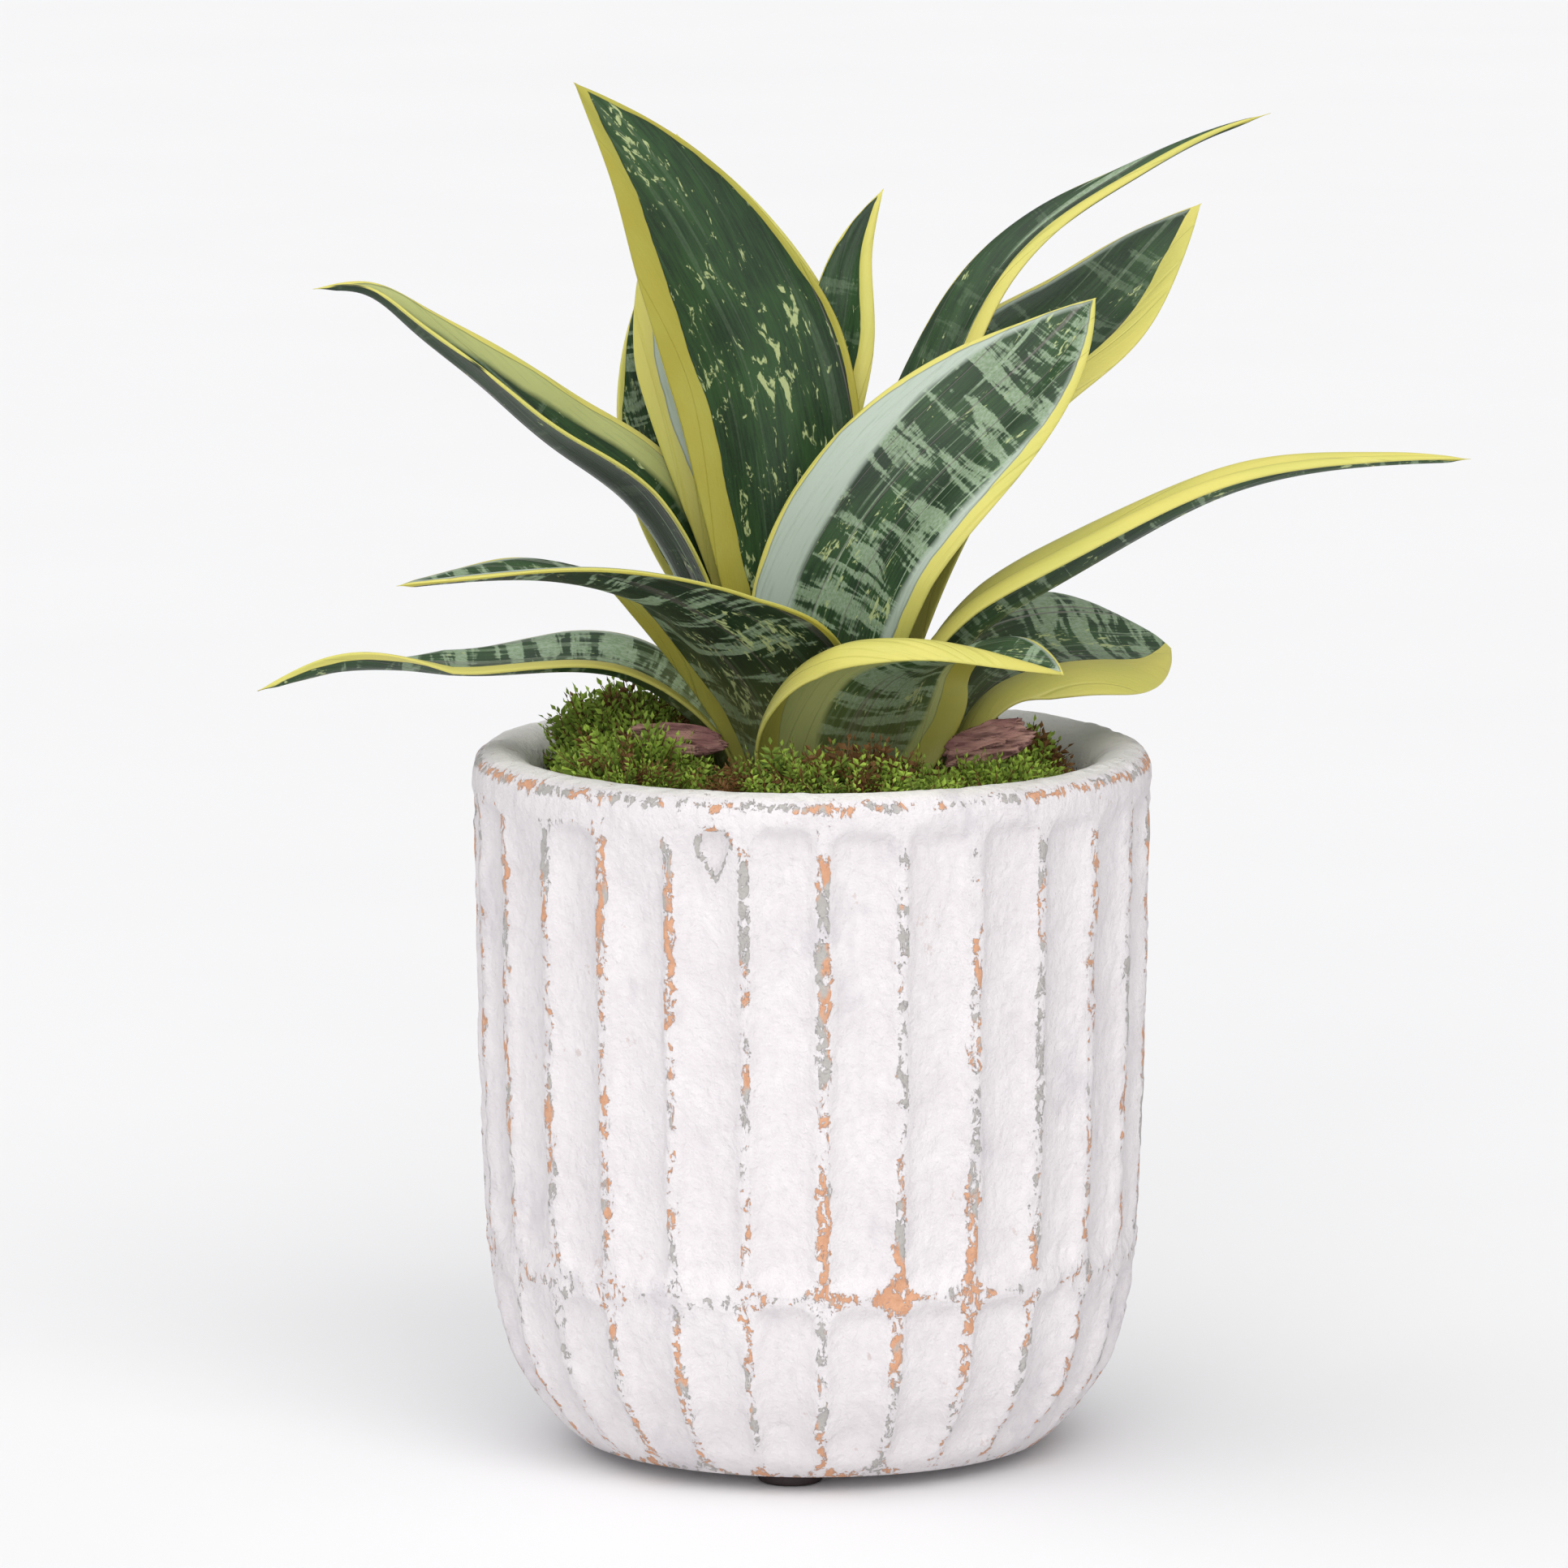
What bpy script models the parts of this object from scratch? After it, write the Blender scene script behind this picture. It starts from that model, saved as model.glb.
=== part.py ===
import bpy
import bmesh
import numpy as np
from math import cos, pi, radians, sin, sqrt
from mathutils import Euler, Vector

# Every length below is in millimetres; MM turns it into metres.
MM = 0.001

# Pot
POT_HEIGHT = 128.0
POT_RIM_RADIUS = 62.5
POT_FLOOR = 12.0
POT_BASE_RADIUS = 43.8
POT_SEGMENTS = 54
# Outside of the pot, radius and height, from the rim edge down to the foot.
POT_OUTSIDE = [(60.9, 127.4), (62.3, 125.6), (62.5, 122.5), (61.6, 70.0), (60.4, 39.0), (59.1, 27.0),
               (57.9, 21.0), (55.7, 14.7), (51.9, 8.7), (47.6, 3.3)]
POT_INSIDE = [(47.0, 14.5), (49.6, 24.0), (51.6, 70.0), (52.8, 120.0), (53.2, 125.2), (54.8, 127.6)]

# Flutes pressed into the outside, in two tiers either side of a seam
FLUTE_COUNT = 27
FLUTE_DEPTH = 2.1
# Radius of a flute's cutter as a share of its distance from the axis, just short of touching its neighbours
FLUTE_SHARE = 0.112
FLUTE_FIRST_ANGLE = -94.8
FLUTE_TOP = 121.5
FLUTE_SEAM_ABOVE = 37.5
FLUTE_LOWER_PATH = [(60.0, 26.5), (58.0, 20.5), (55.0, 13.5), (50.9, 7.8), (47.3, 4.4)]

# Pads under the pot
PAD_RADIUS = 6.0
PAD_THICKNESS = 3.0
PAD_CIRCLE = 33.0
PAD_ANGLES = [-97.0, 23.0, 143.0]
PAD_GAP = 0.08

# Growing medium and the rootstock the leaves stand on
SOIL_TOP = 118.0
SOIL_WELL_RADIUS = 31.0
SOIL_WELL_FLOOR = 104.0
SOIL_CLEARANCE = 0.3
CROWN_CENTRE = (2.0, 1.0)
CROWN_RADIUS = 28.5
CROWN_BOTTOM = 104.3
CROWN_TOP = 111.6

# Moss cushions: centre x and y, half lengths, top height, turn in degrees
MOSS = {
    "moss_front": (3.0, -38.5, 25.0, 11.5, 126.5, 0.0),
    "moss_left": (-32.0, -21.0, 13.0, 14.5, 126.5, 20.0),
    "moss_back_left": (-34.5, 14.0, 11.5, 17.0, 132.0, -10.0),
    "moss_back": (2.0, 42.0, 26.0, 8.0, 125.0, 0.0),
    "moss_right": (36.0, 9.0, 8.0, 18.0, 125.5, 5.0),
    "moss_right_front": (32.5, -24.0, 11.0, 12.0, 125.5, -20.0),
}
MOSS_BOTTOM = 118.3

# Bark chips: centre, half sizes, turn about X, Y and Z in degrees
BARK = {
    "bark_chip_right": ((32.0, -16.0, 129.0), (7.6, 4.0, 1.1), (34.0, -14.0, 8.0)),
    "bark_chip_left": ((-25.0, -15.0, 129.0), (8.0, 3.2, 1.1), (24.0, 4.0, -8.0)),
}

# Leaves. rib: middle line from base to tip. heading: direction the leaf leans towards, turned from +X.
# roll: turn of the blade about its own rib. width: greatest width laid flat.
# base, peak, rise, tip: how the width grows from the base and closes at the point.
# fold: rise of the channel beside the rib. curl: turn-down of the left and the right margin.
LEAVES = {
    "leaf_tall_front": dict(
        rib=[(-1, 3, 112), (-3, 1, 150), (-6, -1, 178), (-10, -3, 198), (-18, -7, 216),
             (-28, -12, 233.5), (-43, -18, 251.5)],
        heading=-90, roll=[0], fold=[40, 25, 20, 20], curl=([50, 40, 30], [50, 40, 40]),
        width=34, base=0.36, peak=0.58, rise=1.2, tip=(1.6, 1.0)),
    "leaf_tall_back": dict(
        rib=[(-3, 13, 112), (-4, 12, 145), (-7, 12, 172), (-11.5, 15, 191), (-16.5, 18, 209),
             (-21, 21, 225), (-25, 25, 238)],
        heading=90, roll=[0], fold=[35, 20, 15], curl=([40, 30, 25], [40, 30, 25]),
        width=39, base=0.28, peak=0.68, rise=1.6, tip=(1.6, 1.0)),
    "leaf_back_left": dict(
        rib=[(0, 28.5, 112), (-8.5, 32.8, 143), (-21.5, 33, 166), (-28.5, 33, 182), (-31.5, 34.5, 195), (-33, 37, 205)],
        heading=120, roll=[0], fold=[45, 30, 20], curl=([40, 40, 30], [40, 40, 30]),
        width=28.5, base=0.36, peak=0.5, rise=0.85, tip=(2.0, 1.0)),
    "leaf_slim_upright": dict(
        rib=[(0, 8, 112), (-1, 8, 150), (-1.5, 8, 172), (1, 8.5, 188), (5, 10, 202), (7.5, 12, 217),
             (13, 14, 229)],
        heading=80, roll=[0], fold=[50, 40, 30], curl=([50, 40, 30], [60, 60, 50]),
        width=18, base=0.4, peak=0.6, rise=1.0, tip=(1.8, 1.0)),
    "leaf_right_high": dict(
        rib=[(13, 6, 112), (16, 8, 150), (20.5, 12.5, 178), (26.5, 17, 195), (34, 21, 210), (45, 26, 221),
             (60, 32, 230), (73, 37, 236.5), (85, 40, 240.5)],
        heading=26, roll=[0], fold=[60, 50, 40], curl=([60, 50, 40], [80, 90, 80]),
        width=25, base=0.35, peak=0.45, rise=1.0, tip=(1.3, 1.2)),
    "leaf_right_back": dict(
        rib=[(11, 22, 112), (16.5, 25.5, 150), (25, 24, 176), (38.5, 27, 192.5), (52.5, 33, 203),
             (62, 39, 212.5), (72.5, 46, 223)],
        heading=32, roll=[0, -20, -30], fold=[35, 30, 15], curl=([40, 30, 20], [40, 30, 20]),
        width=33, base=0.25, peak=0.58, rise=1.2, tip=(2.0, 1.0)),
    "leaf_right_front": dict(
        rib=[(2, -5, 112), (1.5, -9, 140), (8, -13, 162), (18, -14, 176.5), (32, -11, 190), (43, -8, 200.5),
             (51.5, -5, 211)],
        heading=20, roll=[-50, -40, -40], fold=[20, 35, 30], curl=([40, 30, 20], [50, 60, 60]),
        width=36, base=0.3, peak=0.5, rise=1.0, tip=(2.6, 0.95)),
    "leaf_right_long": dict(
        rib=[(17, -6.5, 112), (18, -7.5, 130), (22.5, -9, 141), (31, -10.5, 151), (43, -12, 159),
             (59.5, -15, 169), (76, -18, 177.5), (96.5, -20, 182.2), (119, -21, 183.5)],
        heading=-10, roll=[0], fold=[40, 55, 50, 45], curl=([60, 60, 50], [100, 110, 100]),
        width=30, base=0.3, peak=0.4, rise=1.0, tip=(1.3, 1.0)),
    "leaf_right_low": dict(
        rib=[(22.5, 2, 112), (25, 3, 128), (30.5, 7.5, 138), (40, 12, 143), (51, 16, 144), (60, 19.5, 143),
             (66.5, 22, 142.8)],
        heading=20, roll=[0, -18, -22], fold=[25, 20, 10], curl=([30, 30, 30], [40, 50, 50]),
        width=39, base=0.25, peak=0.65, rise=1.4, tip=(2.8, 0.8)),
    "leaf_front": dict(
        rib=[(4.5, -21, 112), (5, -21.5, 128), (8, -25, 137), (13, -29.5, 144.5), (22, -35, 148.5),
             (32, -40, 149.5), (45, -45, 147.5)],
        heading=-50, roll=[30, 10, 0], fold=[12, 20, 35], curl=([40, 40, 40], [60, 100, 60]),
        width=46, base=0.44, peak=0.42, rise=1.2, tip=(2.2, 0.9)),
    "leaf_left_front": dict(
        rib=[(-6.5, -12, 112), (-7, -15, 131), (-13, -22, 145), (-22, -31, 155), (-33, -40, 161.5),
             (-47, -48, 165.5), (-60, -55, 166.5), (-74, -60, 165.7)],
        heading=-135, roll=[-20, 0, 0], fold=[30, 25, 20], curl=([30, 30, 25], [30, 30, 20]),
        width=48, base=0.22, peak=0.4, rise=1.4, tip=(1.4, 1.1)),
    "leaf_left_low": dict(
        rib=[(-14.5, 2, 112), (-16.5, 1, 126), (-23, 0.5, 134.2), (-34, 0, 141.2), (-47, -1, 142.7),
             (-61, -2, 142), (-75, -4, 142.9), (-88, -6, 143), (-101.5, -7, 139)],
        heading=175, roll=[5, 8, 5, -60], fold=[50, 30, 25], curl=([40, 40, 30], [40, 40, 30]),
        width=25, base=0.28, peak=0.45, rise=1.5, tip=(1.4, 1.2)),
    "leaf_left_high": dict(
        rib=[(-17, 14, 112), (-20, 12.5, 145), (-25, 8, 160), (-34, 2, 174), (-47, -4, 184.5), (-61, -8, 197),
             (-73, -11, 207), (-81, -12, 213), (-90.5, -13, 213.6)],
        heading=165, roll=[-20, -5, 5, 5], fold=[40, 50, 50], curl=([20, 20, 20], [40, 40, 30]),
        width=30, base=0.3, peak=0.45, rise=1.0, tip=(1.5, 1.1)),
}
LEAF_ROWS = 12
LEAF_COLUMNS = 7
LEAF_RIB_THICKNESS = 1.7
LEAF_EDGE_THICKNESS = 0.7
LEAF_POINT_SHARE = 0.35

COLOURS = {
    "pot_body": (0.86, 0.83, 0.84, 0.85),
    "pad_rubber": (0.05, 0.04, 0.04, 0.8),
    "potting_soil": (0.10, 0.06, 0.04, 0.95),
    "crown": (0.55, 0.50, 0.28, 0.7),
    "moss": (0.12, 0.20, 0.03, 0.95),
    "bark": (0.36, 0.22, 0.19, 0.9),
    "leaf": (0.10, 0.24, 0.10, 0.45),
}


def clear_scene():
    for item in list(bpy.data.objects):
        bpy.data.objects.remove(item, do_unlink=True)


def new_collection(name):
    group = bpy.data.collections.new(name)
    bpy.context.scene.collection.children.link(group)
    return group


def principled(name, kind):
    red, green, blue, rough = COLOURS[kind]
    material = bpy.data.materials.new(name + "_material")
    material.use_nodes = True
    shader = material.node_tree.nodes["Principled BSDF"]
    shader.inputs["Base Color"].default_value = (red, green, blue, 1.0)
    shader.inputs["Roughness"].default_value = rough
    return material


def add_object(name, mesh, group, kind):
    item = bpy.data.objects.new(name, mesh)
    if kind:
        item.data.materials.append(principled(name, kind))
    group.objects.link(item)
    return item


def add_mesh(name, points, edges, faces):
    mesh = bpy.data.meshes.new(name)
    mesh.from_pydata([[value * MM for value in point] for point in points], edges, faces)
    mesh.update()
    return mesh


def turned(name, profile, group, kind, segments):
    """A body of revolution: the profile runs down its outer side, from the axis at the top to the axis below."""
    points = [(radius, 0.0, height) for radius, height in profile]
    edges = [(i, i + 1) for i in range(len(points) - 1)]
    item = add_object(name, add_mesh(name, points, edges, []), group, kind)
    screw = item.modifiers.new("turn", "SCREW")
    screw.axis = "Z"
    screw.angle = 2 * pi
    screw.steps = segments
    screw.render_steps = segments
    screw.use_merge_vertices = True
    screw.merge_threshold = 0.00001
    screw.use_smooth_shade = False
    return item


def settled(item):
    """Replace an object's mesh by its finished one, so it can be moved or cut as a plain mesh."""
    depsgraph = bpy.context.evaluated_depsgraph_get()
    mesh = bpy.data.meshes.new_from_object(item.evaluated_get(depsgraph))
    mesh.name = item.name
    item.modifiers.clear()
    item.data = mesh
    return item


def moved(item, turn, scale, place):
    rotation = Euler([radians(angle) for angle in turn]).to_matrix()
    for vertex in item.data.vertices:
        scaled = Vector([vertex.co[k] * scale[k] for k in range(3)])
        vertex.co = rotation @ scaled + Vector(place) * MM
    return item


def cut(item, cutter):
    boolean = item.modifiers.new("cut_" + cutter.name, "BOOLEAN")
    boolean.operation = "DIFFERENCE"
    boolean.solver = "EXACT"
    boolean.object = cutter
    return boolean


def smooth_by_angle(item, degrees):
    for polygon in item.data.polygons:
        polygon.use_smooth = True
    item.data.set_sharp_from_angle(angle=radians(degrees))


def make_pot(group, guides):
    profile = [(0.0, POT_FLOOR), (POT_INSIDE[0][0] - 6.0, POT_FLOOR)] + POT_INSIDE
    profile += [(57.6, POT_HEIGHT)] + POT_OUTSIDE + [(POT_BASE_RADIUS, 0.0), (0.0, 0.0)]
    pot = turned("pot", profile, group, "pot_body", POT_SEGMENTS)
    for tier, path in (("upper", upper_flute_path()), ("lower", FLUTE_LOWER_PATH)):
        cut(pot, flute_cutter("flutes_" + tier, path, guides))
    return pot


def upper_flute_path():
    radius = FLUTE_SHARE * POT_RIM_RADIUS
    reach = sqrt(radius ** 2 - (radius - FLUTE_DEPTH) ** 2)
    top = FLUTE_TOP - reach
    low = FLUTE_SEAM_ABOVE + reach
    return [(wall_radius(top), top), (wall_radius(80.0), 80.0), (wall_radius(low), low)]


def wall_radius(height):
    heights = [z for r, z in reversed(POT_OUTSIDE)]
    radii = [r for r, z in reversed(POT_OUTSIDE)]
    return float(np.interp(height, heights, radii))


def flute_cutter(name, path, guides):
    """One rounded rod for each flute, bent along the wall and sunk into it by the flute depth."""
    curve = bpy.data.curves.new(name, "CURVE")
    curve.dimensions = "3D"
    curve.bevel_depth = MM
    curve.bevel_resolution = 2
    curve.use_fill_caps = True
    points = np.array(path)
    along_wall = np.gradient(points, axis=0)
    along_wall /= np.linalg.norm(along_wall, axis=1)[:, None]
    outward = np.stack([-along_wall[:, 1], along_wall[:, 0]], axis=1)
    radius = FLUTE_SHARE * points[:, 0]
    for _ in range(4):
        radius = FLUTE_SHARE * (points[:, 0] + outward[:, 0] * (radius - FLUTE_DEPTH))
    line = points + outward * (radius - FLUTE_DEPTH * radius / radius.max())[:, None]
    rod = []
    for angle in (80.0, 55.0, 28.0, 0.0):
        lean = radians(angle)
        rod.append((line[0] - along_wall[0] * radius[0] * sin(lean), radius[0] * cos(lean)))
    rod += list(zip(line[1:-1], radius[1:-1]))
    for angle in (0.0, 28.0, 55.0, 80.0):
        lean = radians(angle)
        rod.append((line[-1] + along_wall[-1] * radius[-1] * sin(lean), radius[-1] * cos(lean)))
    for count in range(FLUTE_COUNT):
        angle = radians(FLUTE_FIRST_ANGLE + 360.0 * count / FLUTE_COUNT)
        spline = curve.splines.new("POLY")
        spline.points.add(len(rod) - 1)
        for target, (place, share) in zip(spline.points, rod):
            target.co = (place[0] * cos(angle) * MM, place[0] * sin(angle) * MM, place[1] * MM, 1.0)
            target.radius = share
    shape = bpy.data.objects.new(name + "_curve", curve)
    guides.objects.link(shape)
    depsgraph = bpy.context.evaluated_depsgraph_get()
    mesh = bpy.data.meshes.new_from_object(shape.evaluated_get(depsgraph))
    bpy.data.objects.remove(shape, do_unlink=True)
    rods = bmesh.new()
    rods.from_mesh(mesh)
    bmesh.ops.remove_doubles(rods, verts=rods.verts, dist=0.00001)
    bmesh.ops.recalc_face_normals(rods, faces=rods.faces)
    rods.to_mesh(mesh)
    rods.free()
    cutter = add_object(name, mesh, guides, None)
    cutter.hide_render = True
    cutter.display_type = "WIRE"
    return cutter


def make_pads(group):
    for number, angle in enumerate(PAD_ANGLES, start=1):
        top = -PAD_GAP
        profile = [(0.0, top), (PAD_RADIUS, top), (PAD_RADIUS, -PAD_THICKNESS + 0.5),
                   (PAD_RADIUS - 0.5, -PAD_THICKNESS), (0.0, -PAD_THICKNESS)]
        pad = settled(turned("foot_pad_%d" % number, profile, group, "pad_rubber", 20))
        place = (PAD_CIRCLE * cos(radians(angle)), PAD_CIRCLE * sin(radians(angle)), 0.0)
        moved(pad, (0, 0, 0), (1, 1, 1), place)
        smooth_by_angle(pad, 35)


def make_soil(group):
    gap = SOIL_CLEARANCE
    inside = [(radius - gap, height) for radius, height in reversed(POT_INSIDE) if height < SOIL_TOP]
    profile = [(0.0, SOIL_WELL_FLOOR), (SOIL_WELL_RADIUS, SOIL_WELL_FLOOR),
               (SOIL_WELL_RADIUS + 1.0, SOIL_TOP - 1.0), (SOIL_WELL_RADIUS + 3.0, SOIL_TOP),
               (52.3, SOIL_TOP)]
    profile += inside + [(40.7, POT_FLOOR + gap), (0.0, POT_FLOOR + gap)]
    soil = settled(turned("potting_soil", profile, group, "potting_soil", 36))
    smooth_by_angle(soil, 35)


def make_crown(group):
    low, high, radius = CROWN_BOTTOM, CROWN_TOP, CROWN_RADIUS
    profile = [(0.0, high), (radius - 3.0, high), (radius, high - 2.5), (radius, low + 2.0),
               (radius - 2.0, low), (0.0, low)]
    crown = settled(turned("rootstock", profile, group, "crown", 24))
    moved(crown, (0, 0, 0), (1, 1, 1), CROWN_CENTRE + (0.0,))
    smooth_by_angle(crown, 35)


def make_moss(group):
    for name, (x, y, half_x, half_y, top, turn) in MOSS.items():
        height = top - MOSS_BOTTOM
        angles = [radians(a) for a in (0, 18, 36, 54, 72, 90)]
        dome = [(sin(a), cos(a) ** 0.8 if cos(a) > 0 else 0.0) for a in angles]
        dome[-1] = (1.0, 0.0)
        profile = [(share, rise * height) for share, rise in dome] + [(0.0, 0.0)]
        cushion = settled(turned(name, profile, group, "moss", 20))
        moved(cushion, (0, 0, turn), (half_x, half_y, 1.0), (x, y, MOSS_BOTTOM))
        smooth_by_angle(cushion, 60)


def make_bark(group):
    for name, (centre, half, turn) in BARK.items():
        outline = [(-1.0, -0.25), (-0.62, -0.9), (0.1, -1.0), (0.72, -0.62), (1.0, 0.05), (0.55, 0.7),
                   (-0.15, 1.0), (-0.8, 0.6)]
        points = [(x * half[0], y * half[1], -half[2]) for x, y in outline]
        points += [(x * half[0] * 0.92, y * half[1] * 0.86, half[2]) for x, y in outline]
        count = len(outline)
        faces = [tuple(reversed(range(count))), tuple(range(count, 2 * count))]
        faces += [(i, (i + 1) % count, count + (i + 1) % count, count + i) for i in range(count)]
        chip = add_object(name, add_mesh(name, points, [], faces), group, "bark")
        moved(chip, turn, (1, 1, 1), centre)


def spline_through(knots, values, at):
    """Natural cubic through the control values, worked out at the given places."""
    count = len(knots)
    gap = np.diff(knots)
    system = np.eye(count)
    right = np.zeros((count, values.shape[1]))
    for i in range(1, count - 1):
        system[i, i - 1:i + 2] = gap[i - 1], 2 * (gap[i - 1] + gap[i]), gap[i]
        right[i] = 6 * ((values[i + 1] - values[i]) / gap[i] - (values[i] - values[i - 1]) / gap[i - 1])
    bend = np.linalg.solve(system, right)
    cell = np.clip(np.searchsorted(knots, at) - 1, 0, count - 2)
    width = gap[cell][:, None]
    after = (at - knots[cell])[:, None]
    before = (knots[cell + 1] - at)[:, None]
    cubic = (bend[cell] * before ** 3 + bend[cell + 1] * after ** 3) / (6 * width)
    line_low = (values[cell] / width - bend[cell] * width / 6) * before
    line_high = (values[cell + 1] / width - bend[cell + 1] * width / 6) * after
    return cubic + line_low + line_high


def along(values, share):
    return np.interp(share, np.linspace(0.0, 1.0, len(values)), values)


def ramp(value, low, high):
    share = np.clip((value - low) / (high - low), 0.0, 1.0)
    return share * share * (3.0 - 2.0 * share)


def rib_frame(leaf, share):
    """Points down the rib with the blade's sideways and upward directions at each."""
    control = np.array(leaf["rib"], float)
    chord = np.r_[0.0, np.cumsum(np.linalg.norm(np.diff(control, axis=0), axis=1))]
    fine = spline_through(chord, control, np.linspace(0.0, chord[-1], 400))
    travelled = np.r_[0.0, np.cumsum(np.linalg.norm(np.diff(fine, axis=0), axis=1))]
    rib = np.stack([np.interp(share * travelled[-1], travelled, fine[:, k]) for k in range(3)], axis=1)
    slope = np.gradient(fine, axis=0)
    tangent = np.stack([np.interp(share * travelled[-1], travelled, slope[:, k]) for k in range(3)], axis=1)
    tangent /= np.linalg.norm(tangent, axis=1)[:, None]
    heading = radians(leaf["heading"])
    side = np.array([sin(heading), -cos(heading), 0.0])
    side = side - tangent * (tangent @ side)[:, None]
    side /= np.linalg.norm(side, axis=1)[:, None]
    upward = np.cross(side, tangent)
    roll = np.radians(along(leaf["roll"], share))[:, None]
    return rib, side * np.cos(roll) + upward * np.sin(roll), upward * np.cos(roll) - side * np.sin(roll)


def half_width(leaf, share):
    peak = leaf["peak"]
    growth = np.sin(np.clip(share / peak, 0.0, 1.0) * pi / 2) ** leaf["rise"]
    widening = leaf["base"] + (1.0 - leaf["base"]) * growth
    rest = np.clip((share - peak) / (1.0 - peak), 0.0, 1.0)
    closing = (1.0 - rest ** leaf["tip"][0]) ** leaf["tip"][1]
    return leaf["width"] / 2 * np.maximum(np.where(share < peak, widening, closing), 0.0)


def leaf_blade(leaf, rows, columns):
    """The blade's middle surface as rows from base to tip, each from the left margin to the right."""
    share = np.linspace(0.0, 1.0, rows)
    rib, side, upward = rib_frame(leaf, share)
    width = np.maximum(half_width(leaf, share), LEAF_POINT_SHARE)
    across = np.linspace(-1.0, 1.0, columns)
    fine = np.linspace(0.0, 1.0, 60)
    fold = np.radians(along(leaf["fold"], share))[:, None]
    blade = np.zeros((rows, columns, 3))
    for sign, curl in ((-1.0, leaf["curl"][0]), (1.0, leaf["curl"][1])):
        turn_down = np.radians(along(curl, share))[:, None]
        lean = fold * ramp(fine, 0.0, 0.45) - turn_down * ramp(fine, 0.45, 1.0)
        step = np.diff(fine)[None, :]
        out = np.cumsum(0.5 * (np.cos(lean[:, 1:]) + np.cos(lean[:, :-1])) * step, axis=1)
        lift = np.cumsum(0.5 * (np.sin(lean[:, 1:]) + np.sin(lean[:, :-1])) * step, axis=1)
        out = np.concatenate([np.zeros((rows, 1)), out], axis=1)
        lift = np.concatenate([np.zeros((rows, 1)), lift], axis=1)
        chosen = np.where(across * sign >= 0.0)[0]
        for column in chosen:
            place = abs(across[column])
            reach = np.array([np.interp(place, fine, out[row]) for row in range(rows)]) * width
            raised = np.array([np.interp(place, fine, lift[row]) for row in range(rows)]) * width
            blade[:, column] = rib + side * (sign * reach)[:, None] + upward * raised[:, None]
    return share, across, blade


def make_leaf(name, leaf, group):
    share, across, blade = leaf_blade(leaf, LEAF_ROWS, LEAF_COLUMNS)
    normal = np.cross(np.gradient(blade, axis=0), np.gradient(blade, axis=1))
    normal /= np.linalg.norm(normal, axis=2)[:, :, None]
    swell = LEAF_EDGE_THICKNESS + (LEAF_RIB_THICKNESS - LEAF_EDGE_THICKNESS) * (1.0 - across ** 2)
    thickness = swell[None, :] * (1.0 - 0.35 * share[:, None])
    offset = normal * thickness[:, :, None] / 2
    rings = np.concatenate([blade + offset, (blade - offset)[:, ::-1]], axis=1)
    around = 2 * LEAF_COLUMNS
    faces = []
    for row in range(LEAF_ROWS - 1):
        for column in range(around):
            low = row * around + column
            next_low = row * around + (column + 1) % around
            faces.append((low, low + around, next_low + around, next_low))
    for column in range(LEAF_COLUMNS - 1):
        left, right = column, column + 1
        faces.append((left, right, around - 1 - right, around - 1 - left))
        last = (LEAF_ROWS - 1) * around
        faces.append((last + left, last + around - 1 - left, last + around - 1 - right, last + right))
    item = add_object(name, add_mesh(name, rings.reshape(-1, 3), [], faces), group, "leaf")
    shell = bmesh.new()
    shell.from_mesh(item.data)
    bmesh.ops.recalc_face_normals(shell, faces=shell.faces)
    shell.to_mesh(item.data)
    shell.free()
    smooth_by_angle(item, 60)


def main():
    clear_scene()
    group = new_collection("potted_snake_plant")
    guides = new_collection("cutters")
    make_pot(group, guides)
    make_pads(group)
    make_soil(group)
    make_crown(group)
    make_moss(group)
    make_bark(group)
    for name, leaf in LEAVES.items():
        make_leaf(name, leaf, group)


main()
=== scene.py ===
import math

import bpy
import numpy as np
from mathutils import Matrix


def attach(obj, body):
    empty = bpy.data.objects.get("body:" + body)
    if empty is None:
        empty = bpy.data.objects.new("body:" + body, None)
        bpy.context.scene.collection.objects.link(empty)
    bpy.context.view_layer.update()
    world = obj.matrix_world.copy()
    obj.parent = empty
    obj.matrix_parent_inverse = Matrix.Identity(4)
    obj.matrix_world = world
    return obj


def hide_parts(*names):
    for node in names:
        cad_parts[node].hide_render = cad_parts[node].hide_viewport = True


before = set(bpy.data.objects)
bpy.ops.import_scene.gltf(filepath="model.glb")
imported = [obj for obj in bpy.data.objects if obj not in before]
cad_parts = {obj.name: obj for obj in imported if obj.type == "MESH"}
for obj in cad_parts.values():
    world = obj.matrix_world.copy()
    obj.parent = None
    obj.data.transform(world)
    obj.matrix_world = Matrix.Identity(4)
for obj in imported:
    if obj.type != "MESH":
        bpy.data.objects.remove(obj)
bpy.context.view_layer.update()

mm = 0.001
fullTurn = 2 * math.pi
print("frame loaded:", len(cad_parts), "nodes")


# shapes worked out on grids, in millimetres

def ramp(value, low, high):
    # smooth step: 0 below low, 1 above high, 3s^2 - 2s^3 between
    share = np.clip((value - low) / (high - low), 0.0, 1.0)
    return share * share * (3.0 - 2.0 * share)


def latticeValue(x, y, z, seed):
    # one repeatable number from 0 to 1 for each whole-number point, by mixing its coordinates' bits
    mixed = ((x * 73856093) ^ (y * 19349663) ^ (z * 83492791) ^ (seed * 40503007)) & 0xFFFFFFFF
    mixed = ((mixed ^ (mixed >> 13)) * 1274126177) & 0xFFFFFFFF
    mixed = ((mixed ^ (mixed >> 15)) * 668265263) & 0xFFFFFFFF
    return ((mixed ^ (mixed >> 16)) & 0xFFFF) / 65535.0


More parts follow.
